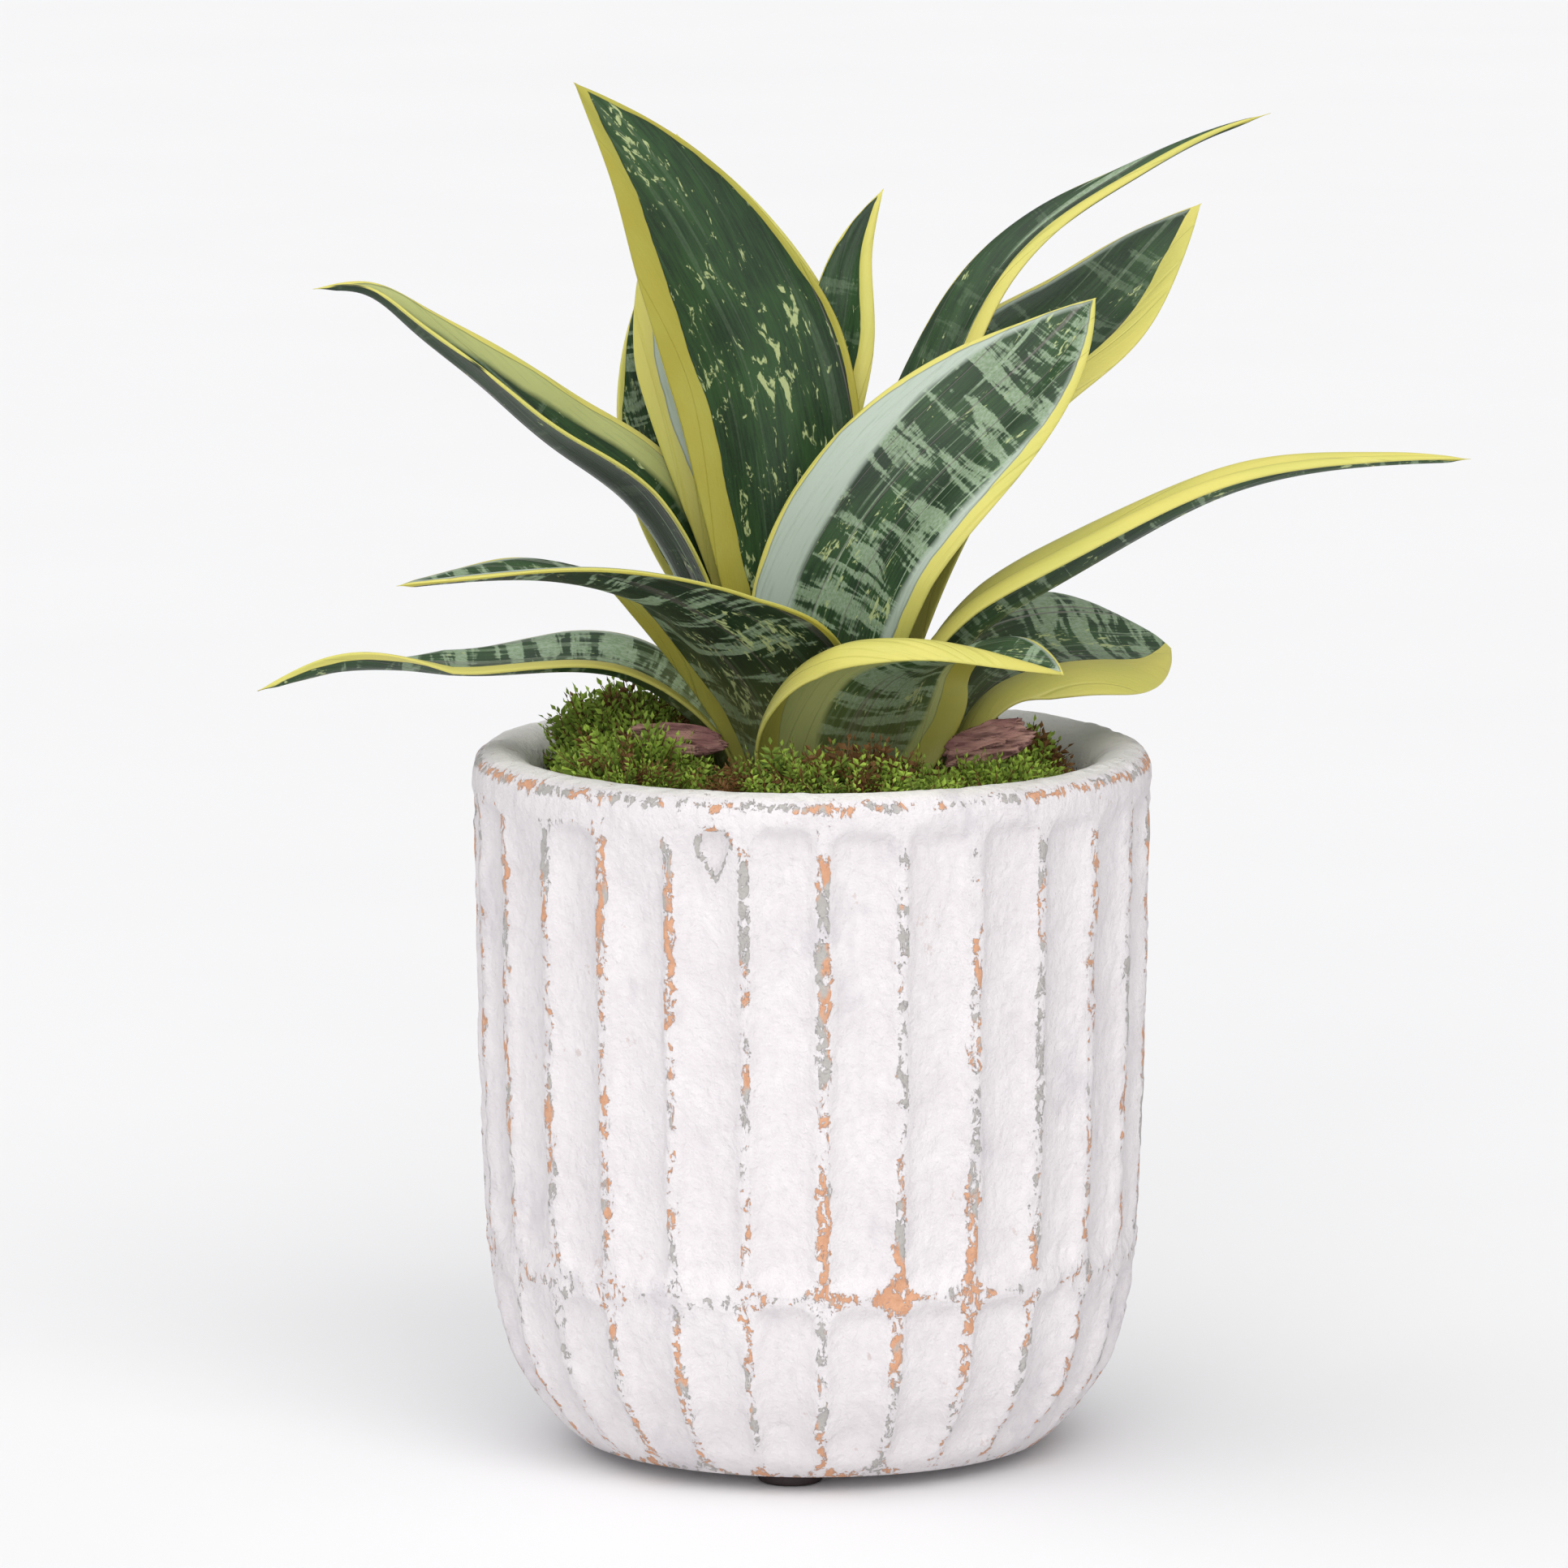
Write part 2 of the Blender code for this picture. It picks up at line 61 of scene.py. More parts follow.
def softNoise(points, size, seed=0):
    # value noise from -1 to 1: the eight lattice points round a place, mixed by smoothed shares
    scaled = np.asarray(points, float) / size
    cell = np.floor(scaled).astype(np.int64)
    share = scaled - cell
    share = share * share * (3.0 - 2.0 * share)
    total = 0.0
    for corner in range(8):
        step = np.array([corner & 1, corner >> 1 & 1, corner >> 2])
        weight = np.prod(np.where(step == 1, share, 1.0 - share), axis=-1)
        place = cell + step
        total = total + weight * latticeValue(place[..., 0], place[..., 1], place[..., 2], seed)
    return total * 2.0 - 1.0


def layeredNoise(points, size, layers=4, seed=0):
    # sum of soft noises, each half the size and half the height of the one before
    total = 0.0
    for layer in range(layers):
        share = 0.5 ** layer
        total = total + softNoise(points, np.multiply(size, share), seed + 11 * layer) * share
    return total / 1.6


def pathThrough(corners, count, blur):
    # points at equal steps along a line of corners, each averaged over the blur length; the ends stay put
    corners = np.array(corners, float)
    travelled = np.r_[0.0, np.cumsum(np.linalg.norm(np.diff(corners, axis=0), axis=1))]
    at = np.linspace(0.0, travelled[-1], count)
    total = 0.0
    for shift in np.linspace(-0.5, 0.5, 9):
        reach = np.minimum(np.minimum(at, travelled[-1] - at) * 2.0, blur)
        moved = at + shift * reach
        total = total + np.stack([np.interp(moved, travelled, corners[:, k]) for k in range(2)], axis=1)
    return total / 9.0


def splineThrough(knots, values, at):
    # natural cubic through the control values, worked out at the given places
    count = len(knots)
    gap = np.diff(knots)
    system = np.eye(count)
    right = np.zeros((count, values.shape[1]))
    for i in range(1, count - 1):
        system[i, i - 1:i + 2] = gap[i - 1], 2 * (gap[i - 1] + gap[i]), gap[i]
        right[i] = 6 * ((values[i + 1] - values[i]) / gap[i] - (values[i] - values[i - 1]) / gap[i - 1])
    bend = np.linalg.solve(system, right)
    cell = np.clip(np.searchsorted(knots, at) - 1, 0, count - 2)
    width = gap[cell][:, None]
    after = (at - knots[cell])[:, None]
    before = (knots[cell + 1] - at)[:, None]
    cubic = (bend[cell] * before ** 3 + bend[cell + 1] * after ** 3) / (6 * width)
    lineLow = (values[cell] / width - bend[cell] * width / 6) * before
    lineHigh = (values[cell + 1] / width - bend[cell + 1] * width / 6) * after
    return cubic + lineLow + lineHigh


def stacked(*parts):
    # coordinates side by side as points, each widened to one grid where their shapes differ
    return np.stack(np.broadcast_arrays(*parts), axis=-1)


def unit(vectors):
    # every vector over its own length
    return vectors / np.linalg.norm(vectors, axis=-1, keepdims=True)


def closedRings(rings, poles):
    # a closed body: its points, the quads between each ring and the next, and the fans onto the two poles
    count, around = rings.shape[:2]
    row = np.arange(count - 1)[:, None] * around
    column = np.arange(around)
    beside = (column + 1) % around
    quads = stacked(row + column, row + beside, row + around + beside, row + around + column).reshape(-1, 4)
    pole, last = count * around, (count - 1) * around
    fans = np.concatenate([stacked(beside, column, pole), stacked(pole + 1, last + column, last + beside)])
    return np.concatenate([rings.reshape(-1, 3), poles]), quads, fans


def keepWithin(points, limit):
    # points farther from the pot's axis than the limit move in to it
    radius = np.maximum(np.hypot(points[..., 0], points[..., 1]), 0.01)
    points[..., :2] *= (np.minimum(radius, limit) / radius)[..., None]


def putMesh(name, points, faces, materials, values=None, faceMaterial=None):
    # one object at the origin from points in millimetres, with any named values kept on its points
    mesh = bpy.data.meshes.new(name)
    mesh.from_pydata((np.asarray(points) * mm).tolist(), [], faces)
    for key, data in (values or {}).items():
        kind = "FLOAT_VECTOR" if np.ndim(data) == 2 else "FLOAT"
        attribute = mesh.attributes.new(key, kind, "POINT")
        attribute.data.foreach_set("vector" if kind == "FLOAT_VECTOR" else "value",
                                   np.asarray(data, np.float32).ravel())
    mesh.polygons.foreach_set("use_smooth", np.ones(len(faces), bool))
    if faceMaterial is not None:
        mesh.polygons.foreach_set("material_index", np.asarray(faceMaterial, np.int32))
    for material in materials:
        mesh.materials.append(material)
    mesh.update()
    piece = bpy.data.objects.new(name, mesh)
    bpy.context.scene.collection.objects.link(piece)
    return piece


def settle(piece, node):
    # the piece moves with the plant's one body and stands for its CAD node
    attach(piece, "root")
    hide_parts(node)
    return piece


def turnedPoints(profile, around):
    # rings of a profile of radius and height turned about the upright axis
    angle = np.linspace(0.0, fullTurn, around, endpoint=False)
    radius, height = profile[:, 0][:, None], profile[:, 1][:, None]
    return stacked(radius * np.cos(angle), radius * np.sin(angle), height)


def axisPoles(profile, centre=(0.0, 0.0)):
    # the two places on the axis that close a turned profile at its ends
    return [(*centre, profile[end][1]) for end in (0, -1)]


def closedTurn(name, rings, poles, materials, values=None):
    # rings from the low pole to the high pole become one closed body whose faces look outwards
    points, quads, fans = closedRings(rings, poles)
    kept = {key: np.r_[np.ravel(data), data[0, 0], data[-1, 0]] for key, data in (values or {}).items()}
    return putMesh(name, points, quads.tolist() + fans.tolist(), materials, kept)


# shader helpers

def tone(red, green, blue):
    # a colour as seen on a screen, 0 to 255, turned into the linear values a shader takes
    share = np.array([red, green, blue]) / 255.0
    linear = np.where(share <= 0.04045, share / 12.92, ((share + 0.055) / 1.055) ** 2.4)
    return (*[float(part) for part in linear], 1.0)


class shaderValue:
    # one output of a shader node; adding, taking away and multiplying values makes Math nodes

    def __init__(self, socket):
        self.socket = socket
        self.tree = socket.id_data

    def __add__(self, other):
        return calc("ADD", self, other)

    def __sub__(self, other):
        return calc("SUBTRACT", self, other)

    def __rsub__(self, other):
        return calc("SUBTRACT", other, self)

    def __mul__(self, other):
        return calc("MULTIPLY", self, other)


def feed(value, socket):
    if isinstance(value, shaderValue):
        value.tree.links.new(value.socket, socket)
    else:
        socket.default_value = value


def nodeAfter(kind, *values):
    # a new node in the tree that the values come from
    tree = next(value.tree for value in values if isinstance(value, shaderValue))
    return tree.nodes.new("ShaderNode" + kind)


def calc(operation, *terms, clamp=False):
    # the named sum of the terms, held between 0 and 1 where it is clamped
    node = nodeAfter("Math", *terms)
    node.operation = operation
    node.use_clamp = clamp
    for socket, term in zip(node.inputs, terms):
        feed(term, socket)
    return shaderValue(node.outputs[0])


def feedAll(node, output, **values):
    # the value at the named output of a node, after its inputs are fed; an underscore stands for a space
    for key, value in values.items():
        feed(value, node.inputs[key.replace("_", " ")])
    return shaderValue(node.outputs[output])


def blend(share, low, high):
    # from the low colour at 0 to the high colour at 1
    node = nodeAfter("Mix", share, low, high)
    node.data_type = "RGBA"
    return feedAll(node, "Result", Factor=share, A=low, B=high)


def step(value, low, high):
    # 0 at the low value, 1 at the high one, with a smooth rise between
    node = nodeAfter("MapRange", value)
    node.interpolation_type = "SMOOTHSTEP"
    return feedAll(node, "Result", Value=value, From_Min=low, From_Max=high)


def joined(x=0.0, y=0.0, z=0.0, tree=None):
    # one vector from three numbers; the tree is named where all three are plain ones
    node = tree.nodes.new("ShaderNodeCombineXYZ") if tree else nodeAfter("CombineXYZ", x, y, z)
    for socket, part in zip(node.inputs, (x, y, z)):
        feed(part, socket)
    return shaderValue(node.outputs[0])


def split(vector):
    node = nodeAfter("SeparateXYZ", vector)
    feed(vector, node.inputs[0])
    return [shaderValue(output) for output in node.outputs]


def stretched(place, scale, shift=0.0):
    # a place with each direction scaled by its own amount, moved along Z by the shift
    for operation, other in (("MULTIPLY", scale), ("ADD", joined(z=shift, tree=place.tree))):
        node = nodeAfter("VectorMath", place)
        node.operation = operation
        feed(place, node.inputs[0])
        feed(other, node.inputs[1])
        place = shaderValue(node.outputs[0])
    return place


def noise(place, scale=1.0, detail=3.0, rough=0.55, distortion=0.0):
    return feedAll(nodeAfter("TexNoise", place), "Fac", Vector=place, Scale=scale, Detail=detail,
                   Roughness=rough, Distortion=distortion)


def attributeOf(tree, name, output="Vector"):
    node = tree.nodes.new("ShaderNodeAttribute")
    node.attribute_name = name
    return shaderValue(node.outputs[output])


def objectPlace(tree):
    return shaderValue(tree.nodes.new("ShaderNodeTexCoord").outputs["Object"])


def newGroup(name, inputs, outputs):
    # an empty shader group with named sockets; inputs and outputs map a name to Float, Vector or Color
    group = bpy.data.node_groups.new(name, "ShaderNodeTree")
    for way, sockets in (("INPUT", inputs), ("OUTPUT", outputs)):
        for key, kind in sockets.items():
            group.interface.new_socket(key, in_out=way, socket_type="NodeSocket" + kind)
    entry = group.nodes.new("NodeGroupInput").outputs
    leave = group.nodes.new("NodeGroupOutput").inputs
    return group, {key: shaderValue(entry[key]) for key in inputs}, leave


def useGroup(tree, group, values):
    node = tree.nodes.new("ShaderNodeGroup")
    node.node_tree = group
    for key, value in values.items():
        feed(value, node.inputs[key])
    return [shaderValue(output) for output in node.outputs]


def newMaterial(name, roughness, specular):
    material = bpy.data.materials.new(name)
    material.use_nodes = True
    shader = material.node_tree.nodes["Principled BSDF"].inputs
    shader["Roughness"].default_value = roughness
    shader["Specular IOR Level"].default_value = specular
    return material, material.node_tree, shader


def dress(shader, colour, roughness=None, height=None, distance=0.0, strength=1.0):
    # a material's colour, roughness, and relief from a height pattern, its distance in metres
    feed(colour, shader["Base Color"])
    if roughness is not None:
        feed(roughness, shader["Roughness"])
    if height is not None:
        bump = nodeAfter("Bump", height)
        feed(feedAll(bump, "Normal", Strength=strength, Distance=distance, Height=height), shader["Normal"])


def makeGrainGroup():
    # fine grain shared by the rough materials: a fine and a broad noise, each from 0 to 1
    group, entry, leave = newGroup("fineGrain", {"Place": "Vector", "Size": "Float"},
                                   {"Fine": "Float", "Broad": "Float"})
    scale = calc("DIVIDE", 1.0, entry["Size"])
    feed(noise(entry["Place"], scale, 5.0, 0.65), leave["Fine"])
    feed(noise(entry["Place"], scale * 0.14, 3.0, 0.5), leave["Broad"])
    return group


grainGroup = makeGrainGroup()


def grainOf(place, size):
    return useGroup(place.tree, grainGroup, {"Place": place, "Size": size})


# the pot

potSettings = {
    "outside": [(43.8, 0.0), (47.6, 3.3), (51.9, 8.7), (55.7, 14.7), (57.9, 21.0), (59.1, 27.0), (60.4, 39.0),
                (61.6, 70.0), (62.5, 122.5), (62.3, 125.6), (60.9, 127.4), (57.6, 128.0)],
    "inside": [(57.6, 128.0), (54.9, 127.5), (52.6, 126.1), (50.9, 123.6), (50.0, 120.0),
               (49.8, 115.0), (50.2, 70.0), (49.6, 24.0), (47.0, 14.5), (41.0, 12.0), (2.0, 12.0)],
    "around": 486,
    "outsideRows": 156,
    "insideRows": 30,
    "fluteCount": 27,
    "firstAngle": -94.8,
    "fluteHalfWidth": 5.85,
    "fluteDepth": 2.15,
    "fluteCorner": 4.4,
    "upperTier": (37.5, 121.6),
    "lowerTier": (2.0, 34.0),
    "rimRadius": 62.5,
    "rimEdge": (125.9, 1.7),
    "seam": (29.0, 33.0, 39.5, 43.0),
    "lumps": 0.3,
    "drop": {"centre": (-18.0, 118.5), "half": 3.1, "depth": 1.3},
}


def fluteDepthAt(settings, angle, height, points):
    # depth of the flutes: a rounded slot on each side of the seam, its section a circle's, its edges wavy
    pitch = fullTurn / settings["fluteCount"]
    start = math.radians(settings["firstAngle"])
    number = np.round((angle - start) / pitch)
    number = np.mod(number, settings["fluteCount"]).astype(np.int64)
    offset = np.mod(angle - start + pitch / 2, pitch) - pitch / 2
    zero = np.zeros_like(number)
    jitter = latticeValue(number, zero, zero, 5) - 0.5
    seamLoss = latticeValue(number, zero + 1, zero, 5)
    endFade = 1.0 + 13.0 * latticeValue(number, zero + 2, zero, 5) ** 2
    across = np.abs(offset * settings["rimRadius"] + jitter * 0.7)
    corner = settings["fluteCorner"]
    wavy = sum(high * softNoise(points, size, seed)
               for high, size, seed in ((0.45, 9.0, 3), (0.28, 3.1, 4), (0.16, 1.5, 6)))
    depth, nearest = np.zeros_like(height), np.full_like(height, 99.0)
    for low, high in (settings["lowerTier"], settings["upperTier"]):
        top = high + jitter * 3.0
        bottom = low - seamLoss * 1.5
        half, middle = (top - bottom) / 2, (top + bottom) / 2
        sideways = across - (settings["fluteHalfWidth"] - corner)
        upright = np.abs(height - middle) - (half - corner)
        outsideCorner = np.hypot(np.maximum(sideways, 0.0), np.maximum(upright, 0.0))
        distance = outsideCorner + np.minimum(np.maximum(sideways, upright), 0.0) - corner + wavy * 0.8
        share = np.clip(-distance / settings["fluteHalfWidth"], 0.0, 1.0)
        section = np.sqrt(1.0 - (1.0 - share) ** 2) * (0.25 + 0.75 * ramp(top - height, 0.0, endFade))
        section = section * (0.4 + 0.6 * ramp(height - bottom, 0.0, 1.0 + 6.0 * seamLoss))
        depth = np.maximum(depth, settings["fluteDepth"] * section)
        nearest = np.minimum(nearest, distance)
    return depth * ramp(height, 0.5, 9.0), nearest


def dropMark(drop, rings):
    # a drop-shaped dent on the front: a half circle above its centre, straight sides that meet below
    x, z = rings[..., 0] - drop["centre"][0], rings[..., 2] - drop["centre"][1]
    distance = np.where(z > 0.0, np.hypot(x, z), np.abs(x) - 0.48 * z) + 0.25 * softNoise(rings, 2.5, 29)
    distance = np.where(rings[..., 1] < 0.0, distance, 99.0)
    dent = drop["depth"] * (1.0 - ramp(distance, drop["half"] - 0.9, drop["half"]))
    return dent, np.exp(-((distance - drop["half"]) / 0.8) ** 2)


def makePot(settings, material):
    # the profile turned round, then moved along its outward direction by flutes, lumps, pits and worn edges
    outside = pathThrough(settings["outside"], settings["outsideRows"], 3.0)
    rows = settings["insideRows"]
    inside = pathThrough(settings["inside"], rows * 6, 4.0)
    closeThenFar = np.r_[np.arange(1, 14), np.linspace(16, rows * 6 - 1, rows - 13)].astype(int)
    profile = np.concatenate([[(8.0, 0.0), (26.0, 0.0), (38.0, 0.0)], outside, inside[closeThenFar]])
    rings = turnedPoints(profile, settings["around"])
    height = rings[..., 2].copy()
    angle = np.linspace(0.0, fullTurn, settings["around"], endpoint=False) + 0.0 * height
    isOutside = np.zeros_like(height)
    isOutside[3:3 + len(outside)] = 1.0
    depth, nearest = fluteDepthAt(settings, angle, height, rings)
    slope = unit(np.gradient(profile, axis=0))
    land = ramp(nearest, -1.5, -0.1)
    rise, top, fall, end = settings["seam"]
    seam = ramp(height, rise, top) * (1.0 - ramp(height, fall, end))
    edgeHeight, edgeSpread = settings["rimEdge"]
    edge = np.exp(-((height - edgeHeight) / edgeSpread) ** 2) * isOutside
    lumps = settings["lumps"] * (layeredNoise(rings, 7.0, 3, 21) + 0.8 * layeredNoise(rings, 2.4, 2, 22))
    battered = np.maximum(layeredNoise(rings, 4.2, 3, 23) - 0.12, 0.0)
    loss = 0.9 * battered * np.maximum(np.maximum(land, edge), seam)
    loss = loss + 0.6 * seam * np.abs(softNoise(rings, 3.2, 24))
    pits = 1.1 * np.maximum(softNoise(rings, 2.0, 25) - 0.66, 0.0)
    pits = pits + 0.5 * np.maximum(softNoise(rings, 5.5, 26) - 0.6, 0.0)
    above = ramp(height, 4.0, 8.0)
    change = isOutside * (-depth - loss * above) + lumps * above * (0.35 + 0.65 * isOutside) - pits * above
    dent, dropEdge = dropMark(settings["drop"], rings)
    change = np.minimum(change, 0.12) - dent * isOutside
    outward = change * slope[:, 1][:, None]
    rings += stacked(outward * np.cos(angle), outward * np.sin(angle), -change * slope[:, 0][:, None])
    ridge = ramp(nearest, -1.1, 0.7)
    wear = np.maximum(ridge * (1.0 - 0.5 * ramp(height, 116.0, 123.0)), 1.06 * edge)
    wear = wear * (1.0 - 0.1 * seam) * (0.9 + 0.2 * softNoise(rings, (30.0, 30.0, 22.0), 27))
    wear = np.maximum(wear, 1.15 * dropEdge) * isOutside
    bare = np.maximum(1.0 - isOutside, ramp(height, 126.9, 127.8) * isOutside) * ramp(height, 3.0, 8.0)
    return closedTurn("potBody", rings, axisPoles(profile), [material], {"wear": wear, "bare": bare})


def makePotMaterial():
    material, tree, shader = newMaterial("whitewashedClay", 0.85, 0.3)
    place = objectPlace(tree)
    wear, bare = attributeOf(tree, "wear", "Fac"), attributeOf(tree, "bare", "Fac")
    fine, broad = grainOf(place, 0.0016)
    flaky = noise(stretched(place, (1.0, 1.0, 0.62)), 560.0, 6.0, 0.72, 0.5)
    patchy = noise(stretched(place, (1.0, 1.0, 0.5)), 95.0, 3.0, 0.6)
    worn = step(wear * 0.31 + flaky * 0.86 + patchy * 0.30, 0.860, 0.878)
    stray = step(noise(stretched(place, (1.0, 1.0, 0.7), 5.0), 170.0, 5.0, 0.68), 0.665, 0.69)
    # random patches, stretched upright, blended halfway toward a pale lilac grey
    lilacGreyPatches = step(noise(stretched(place, (1.0, 1.0, 0.6), 9.0), 60.0, 4.0, 0.62), 0.58, 0.72)
    which = step(noise(stretched(place, (1.0, 1.0, 0.5)), 110.0, 3.0, 0.6), 0.5, 0.55)
    clay = blend(fine, tone(206, 144, 110), tone(238, 190, 156))
    stone = blend(fine, tone(170, 167, 163), tone(207, 204, 200))
    white = blend(broad, tone(228, 222, 225), tone(244, 240, 241))
    white = blend(step(fine, 0.62, 0.8), white, tone(224, 217, 220))
    # bare stone of the rim top and the inside: partly its own pale colour, partly painted light, lifted to
    # near white so that the shaded inner wall reads pale
    bareStoneWithPaintedLight = blend(broad, tone(240, 237, 232), tone(251, 249, 246))
    bareStoneWithPaintedLight = blend(step(fine, 0.66, 0.78), bareStoneWithPaintedLight, tone(150, 144, 136))
    surface = blend(bare, white, bareStoneWithPaintedLight)
    surface = blend(lilacGreyPatches * 0.5, surface, tone(210, 205, 210))
    surface = blend(stray * 0.45, surface, tone(204, 186, 178))
    colour = blend(worn, surface, blend(which, clay, stone))
    dress(shader, colour, fine * 0.2 + 0.72, fine * 0.6 - worn * 0.8 + flaky * 0.5, 0.001, 0.9)
    return material


pot = settle(makePot(potSettings, makePotMaterial()), "pot")
print("pot made:", len(pot.data.polygons), "faces")


# pads, soil and rootstock

padSettings = {
    "profile": [(0.6, -3.0), (5.3, -3.0), (6.0, -2.4), (6.0, -0.5), (5.6, -0.08), (0.6, -0.08)],
    "circle": 33.0,
    "angles": (-97.0, 23.0, 143.0),
    "around": 72,
}


def makeRubberMaterial():
    material, tree, shader = newMaterial("padRubber", 0.7, 0.4)
    fine, broad = grainOf(objectPlace(tree), 0.0008)
    dress(shader, blend(broad, tone(38, 30, 31), tone(72, 60, 60)), fine * 0.3 + 0.5, fine, 0.0002, 0.5)
    return material


rubber = makeRubberMaterial()
for number, degrees in enumerate(padSettings["angles"], start=1):
    turn = math.radians(degrees)
    centre = np.array([math.cos(turn), math.sin(turn), 0.0]) * padSettings["circle"]
    padRings = turnedPoints(pathThrough(padSettings["profile"], 40, 0.9), padSettings["around"]) + centre
    pad = closedTurn("padDisc%d" % number, padRings, axisPoles(padSettings["profile"]) + centre, [rubber])
    settle(pad, "foot_pad_%d" % number)

soilSettings = {
    "profile": [(1.0, 12.4), (40.0, 12.4), (46.6, 14.9), (49.2, 24.0), (51.2, 70.0), (52.3, 113.0),
                (52.5, 117.2), (50.5, 118.4), (30.0, 117.6), (16.0, 117.0), (1.0, 117.0)],
    "rows": 190,
    "around": 240,
    "wall": 52.4,
    "crumb": 0.9,
    "crumbCount": 420,
    "crumbReach": 50.0,
    "crumbHeights": (117.5, 118.4),
    "crumbSizes": (0.6, 1.7),
}

# a crumb: a point above, a point below and a ring of five between them
ringCorners = [(1, 0, 0.1), (0.2, 1, 0), (-0.9, 0.5, 0.1), (-0.7, -0.7, 0), (0.4, -0.9, -0.1)]
rockCorners = np.array([(0, 0, 1), *ringCorners, (0, 0, -0.9)]) * (1.0, 0.8, 0.7)
rockSides = [(1 + k, 1 + (k + 1) % 5) for k in range(5)]
rockFaces = np.array([(0, a, b) for a, b in rockSides] + [(6, b, a) for a, b in rockSides])


def randomTurns(draw, count, lean):
    # a turning matrix for each copy: spun about the upright, then leant over by up to the lean
    spin = draw.uniform(0, fullTurn, count)
    tilt = lean * np.sqrt(draw.uniform(0, 1, count))
    way = draw.uniform(0, fullTurn, count)
    return turnsTo(stacked(np.sin(tilt) * np.cos(way), np.sin(tilt) * np.sin(way), np.cos(tilt)), spin)


def turnsTo(upright, spin):
    # turning matrices that take the Z direction to each upright, after a spin about it
    helper = np.where(np.abs(upright[:, 2:]) > 0.9, [[1.0, 0.0, 0.0]], [[0.0, 0.0, 1.0]])
    first = unit(np.cross(helper, upright))
    second = np.cross(upright, first)
    c, s = np.cos(spin)[:, None], np.sin(spin)[:, None]
    return np.stack([first * c + second * s, second * c - first * s, upright], axis=2)


def copiesOf(points, faces, turns, scales, places):
    # the shape's points turned, scaled and placed once for each copy, with the faces counted on
    spread = np.einsum("nij,pj->npi", turns, points) * scales[:, None, None] + places[:, None, :]
    counted = faces[None, :, :] + (np.arange(len(places)) * len(points))[:, None, None]
    return spread.reshape(-1, 3), counted.reshape(-1, faces.shape[1])


def makeSoilMaterial():
    material, tree, shader = newMaterial("darkCompost", 0.95, 0.2)
    fine, broad = grainOf(objectPlace(tree), 0.0011)
    dark = blend(broad, tone(38, 27, 20), tone(74, 54, 39))
    dress(shader, blend(step(fine, 0.63, 0.7), dark, tone(126, 98, 70)), fine * 0.2 + 0.78, fine, 0.0008)
    return material


def makeSoil(settings, material):
    # the turned fill, its top roughened by sums of soft noises, with loose crumbs strewn over it
    rings = turnedPoints(pathThrough(settings["profile"], settings["rows"], 2.0), settings["around"])
    top = ramp(rings[..., 2], 116.0, 116.9)
    rough = np.abs(softNoise(rings, 2.3, 41)) + 0.6 * np.abs(softNoise(rings, 1.2, 42)) - 0.5
    rings[..., 2] += top * (settings["crumb"] * rough + 0.7 * softNoise(rings, 9.0, 43))
    keepWithin(rings, settings["wall"])
    poles = [(0, 0, settings["profile"][0][1]), (0, 0, rings[-1, :, 2].mean())]
    body, quads, fans = closedRings(rings, poles)
    draw = np.random.default_rng(31)
    number = settings["crumbCount"]
    reach = settings["crumbReach"] * np.sqrt(draw.uniform(0.0, 1.0, number))
    turn = draw.uniform(0, fullTurn, number)
    height = draw.uniform(*settings["crumbHeights"], number)
    places = stacked(reach * np.cos(turn), reach * np.sin(turn), height)
    turns = randomTurns(draw, number, 1.5)
    sizes = draw.uniform(*settings["crumbSizes"], number)
    crumbs, crumbFaces = copiesOf(rockCorners, rockFaces, turns, sizes, places)
    faces = quads.tolist() + fans.tolist() + (crumbFaces + len(body)).tolist()
    return putMesh("soilFill", np.concatenate([body, crumbs]), faces, [material])


settle(makeSoil(soilSettings, makeSoilMaterial()), "potting_soil")

rootSettings = {
    "profile": [(1.0, 104.4), (24.0, 104.4), (27.6, 105.8), (28.4, 108.0), (27.6, 110.4), (24.0, 111.5),
                (1.0, 111.5)],
    "centre": (2.0, 1.0),
}


def makeRootMaterial():
    material, tree, shader = newMaterial("fleshyRoot", 0.65, 0.4)
    place = objectPlace(tree)
    rings = noise(stretched(place, (1.0, 1.0, 6.0)), 120.0, 3.0, 0.6)
    colour = blend(rings, tone(150, 120, 72), tone(206, 188, 132))
    dress(shader, blend(grainOf(place, 0.0014)[0], colour, tone(120, 92, 60)), height=rings, distance=0.0006)
    return material


rootRings = turnedPoints(pathThrough(rootSettings["profile"], 44, 2.0), 120)
rootRings[..., :2] *= (1.0 - 0.02 * (1.0 + layeredNoise(rootRings, 8.0, 3, 51)))[..., None]
rootRings[..., :2] += rootSettings["centre"]
rootPoles = axisPoles(rootSettings["profile"], rootSettings["centre"])
settle(closedTurn("rootDisc", rootRings, rootPoles, [makeRootMaterial()]), "rootstock")
print("pads, soil and rootstock made")


# moss cushions

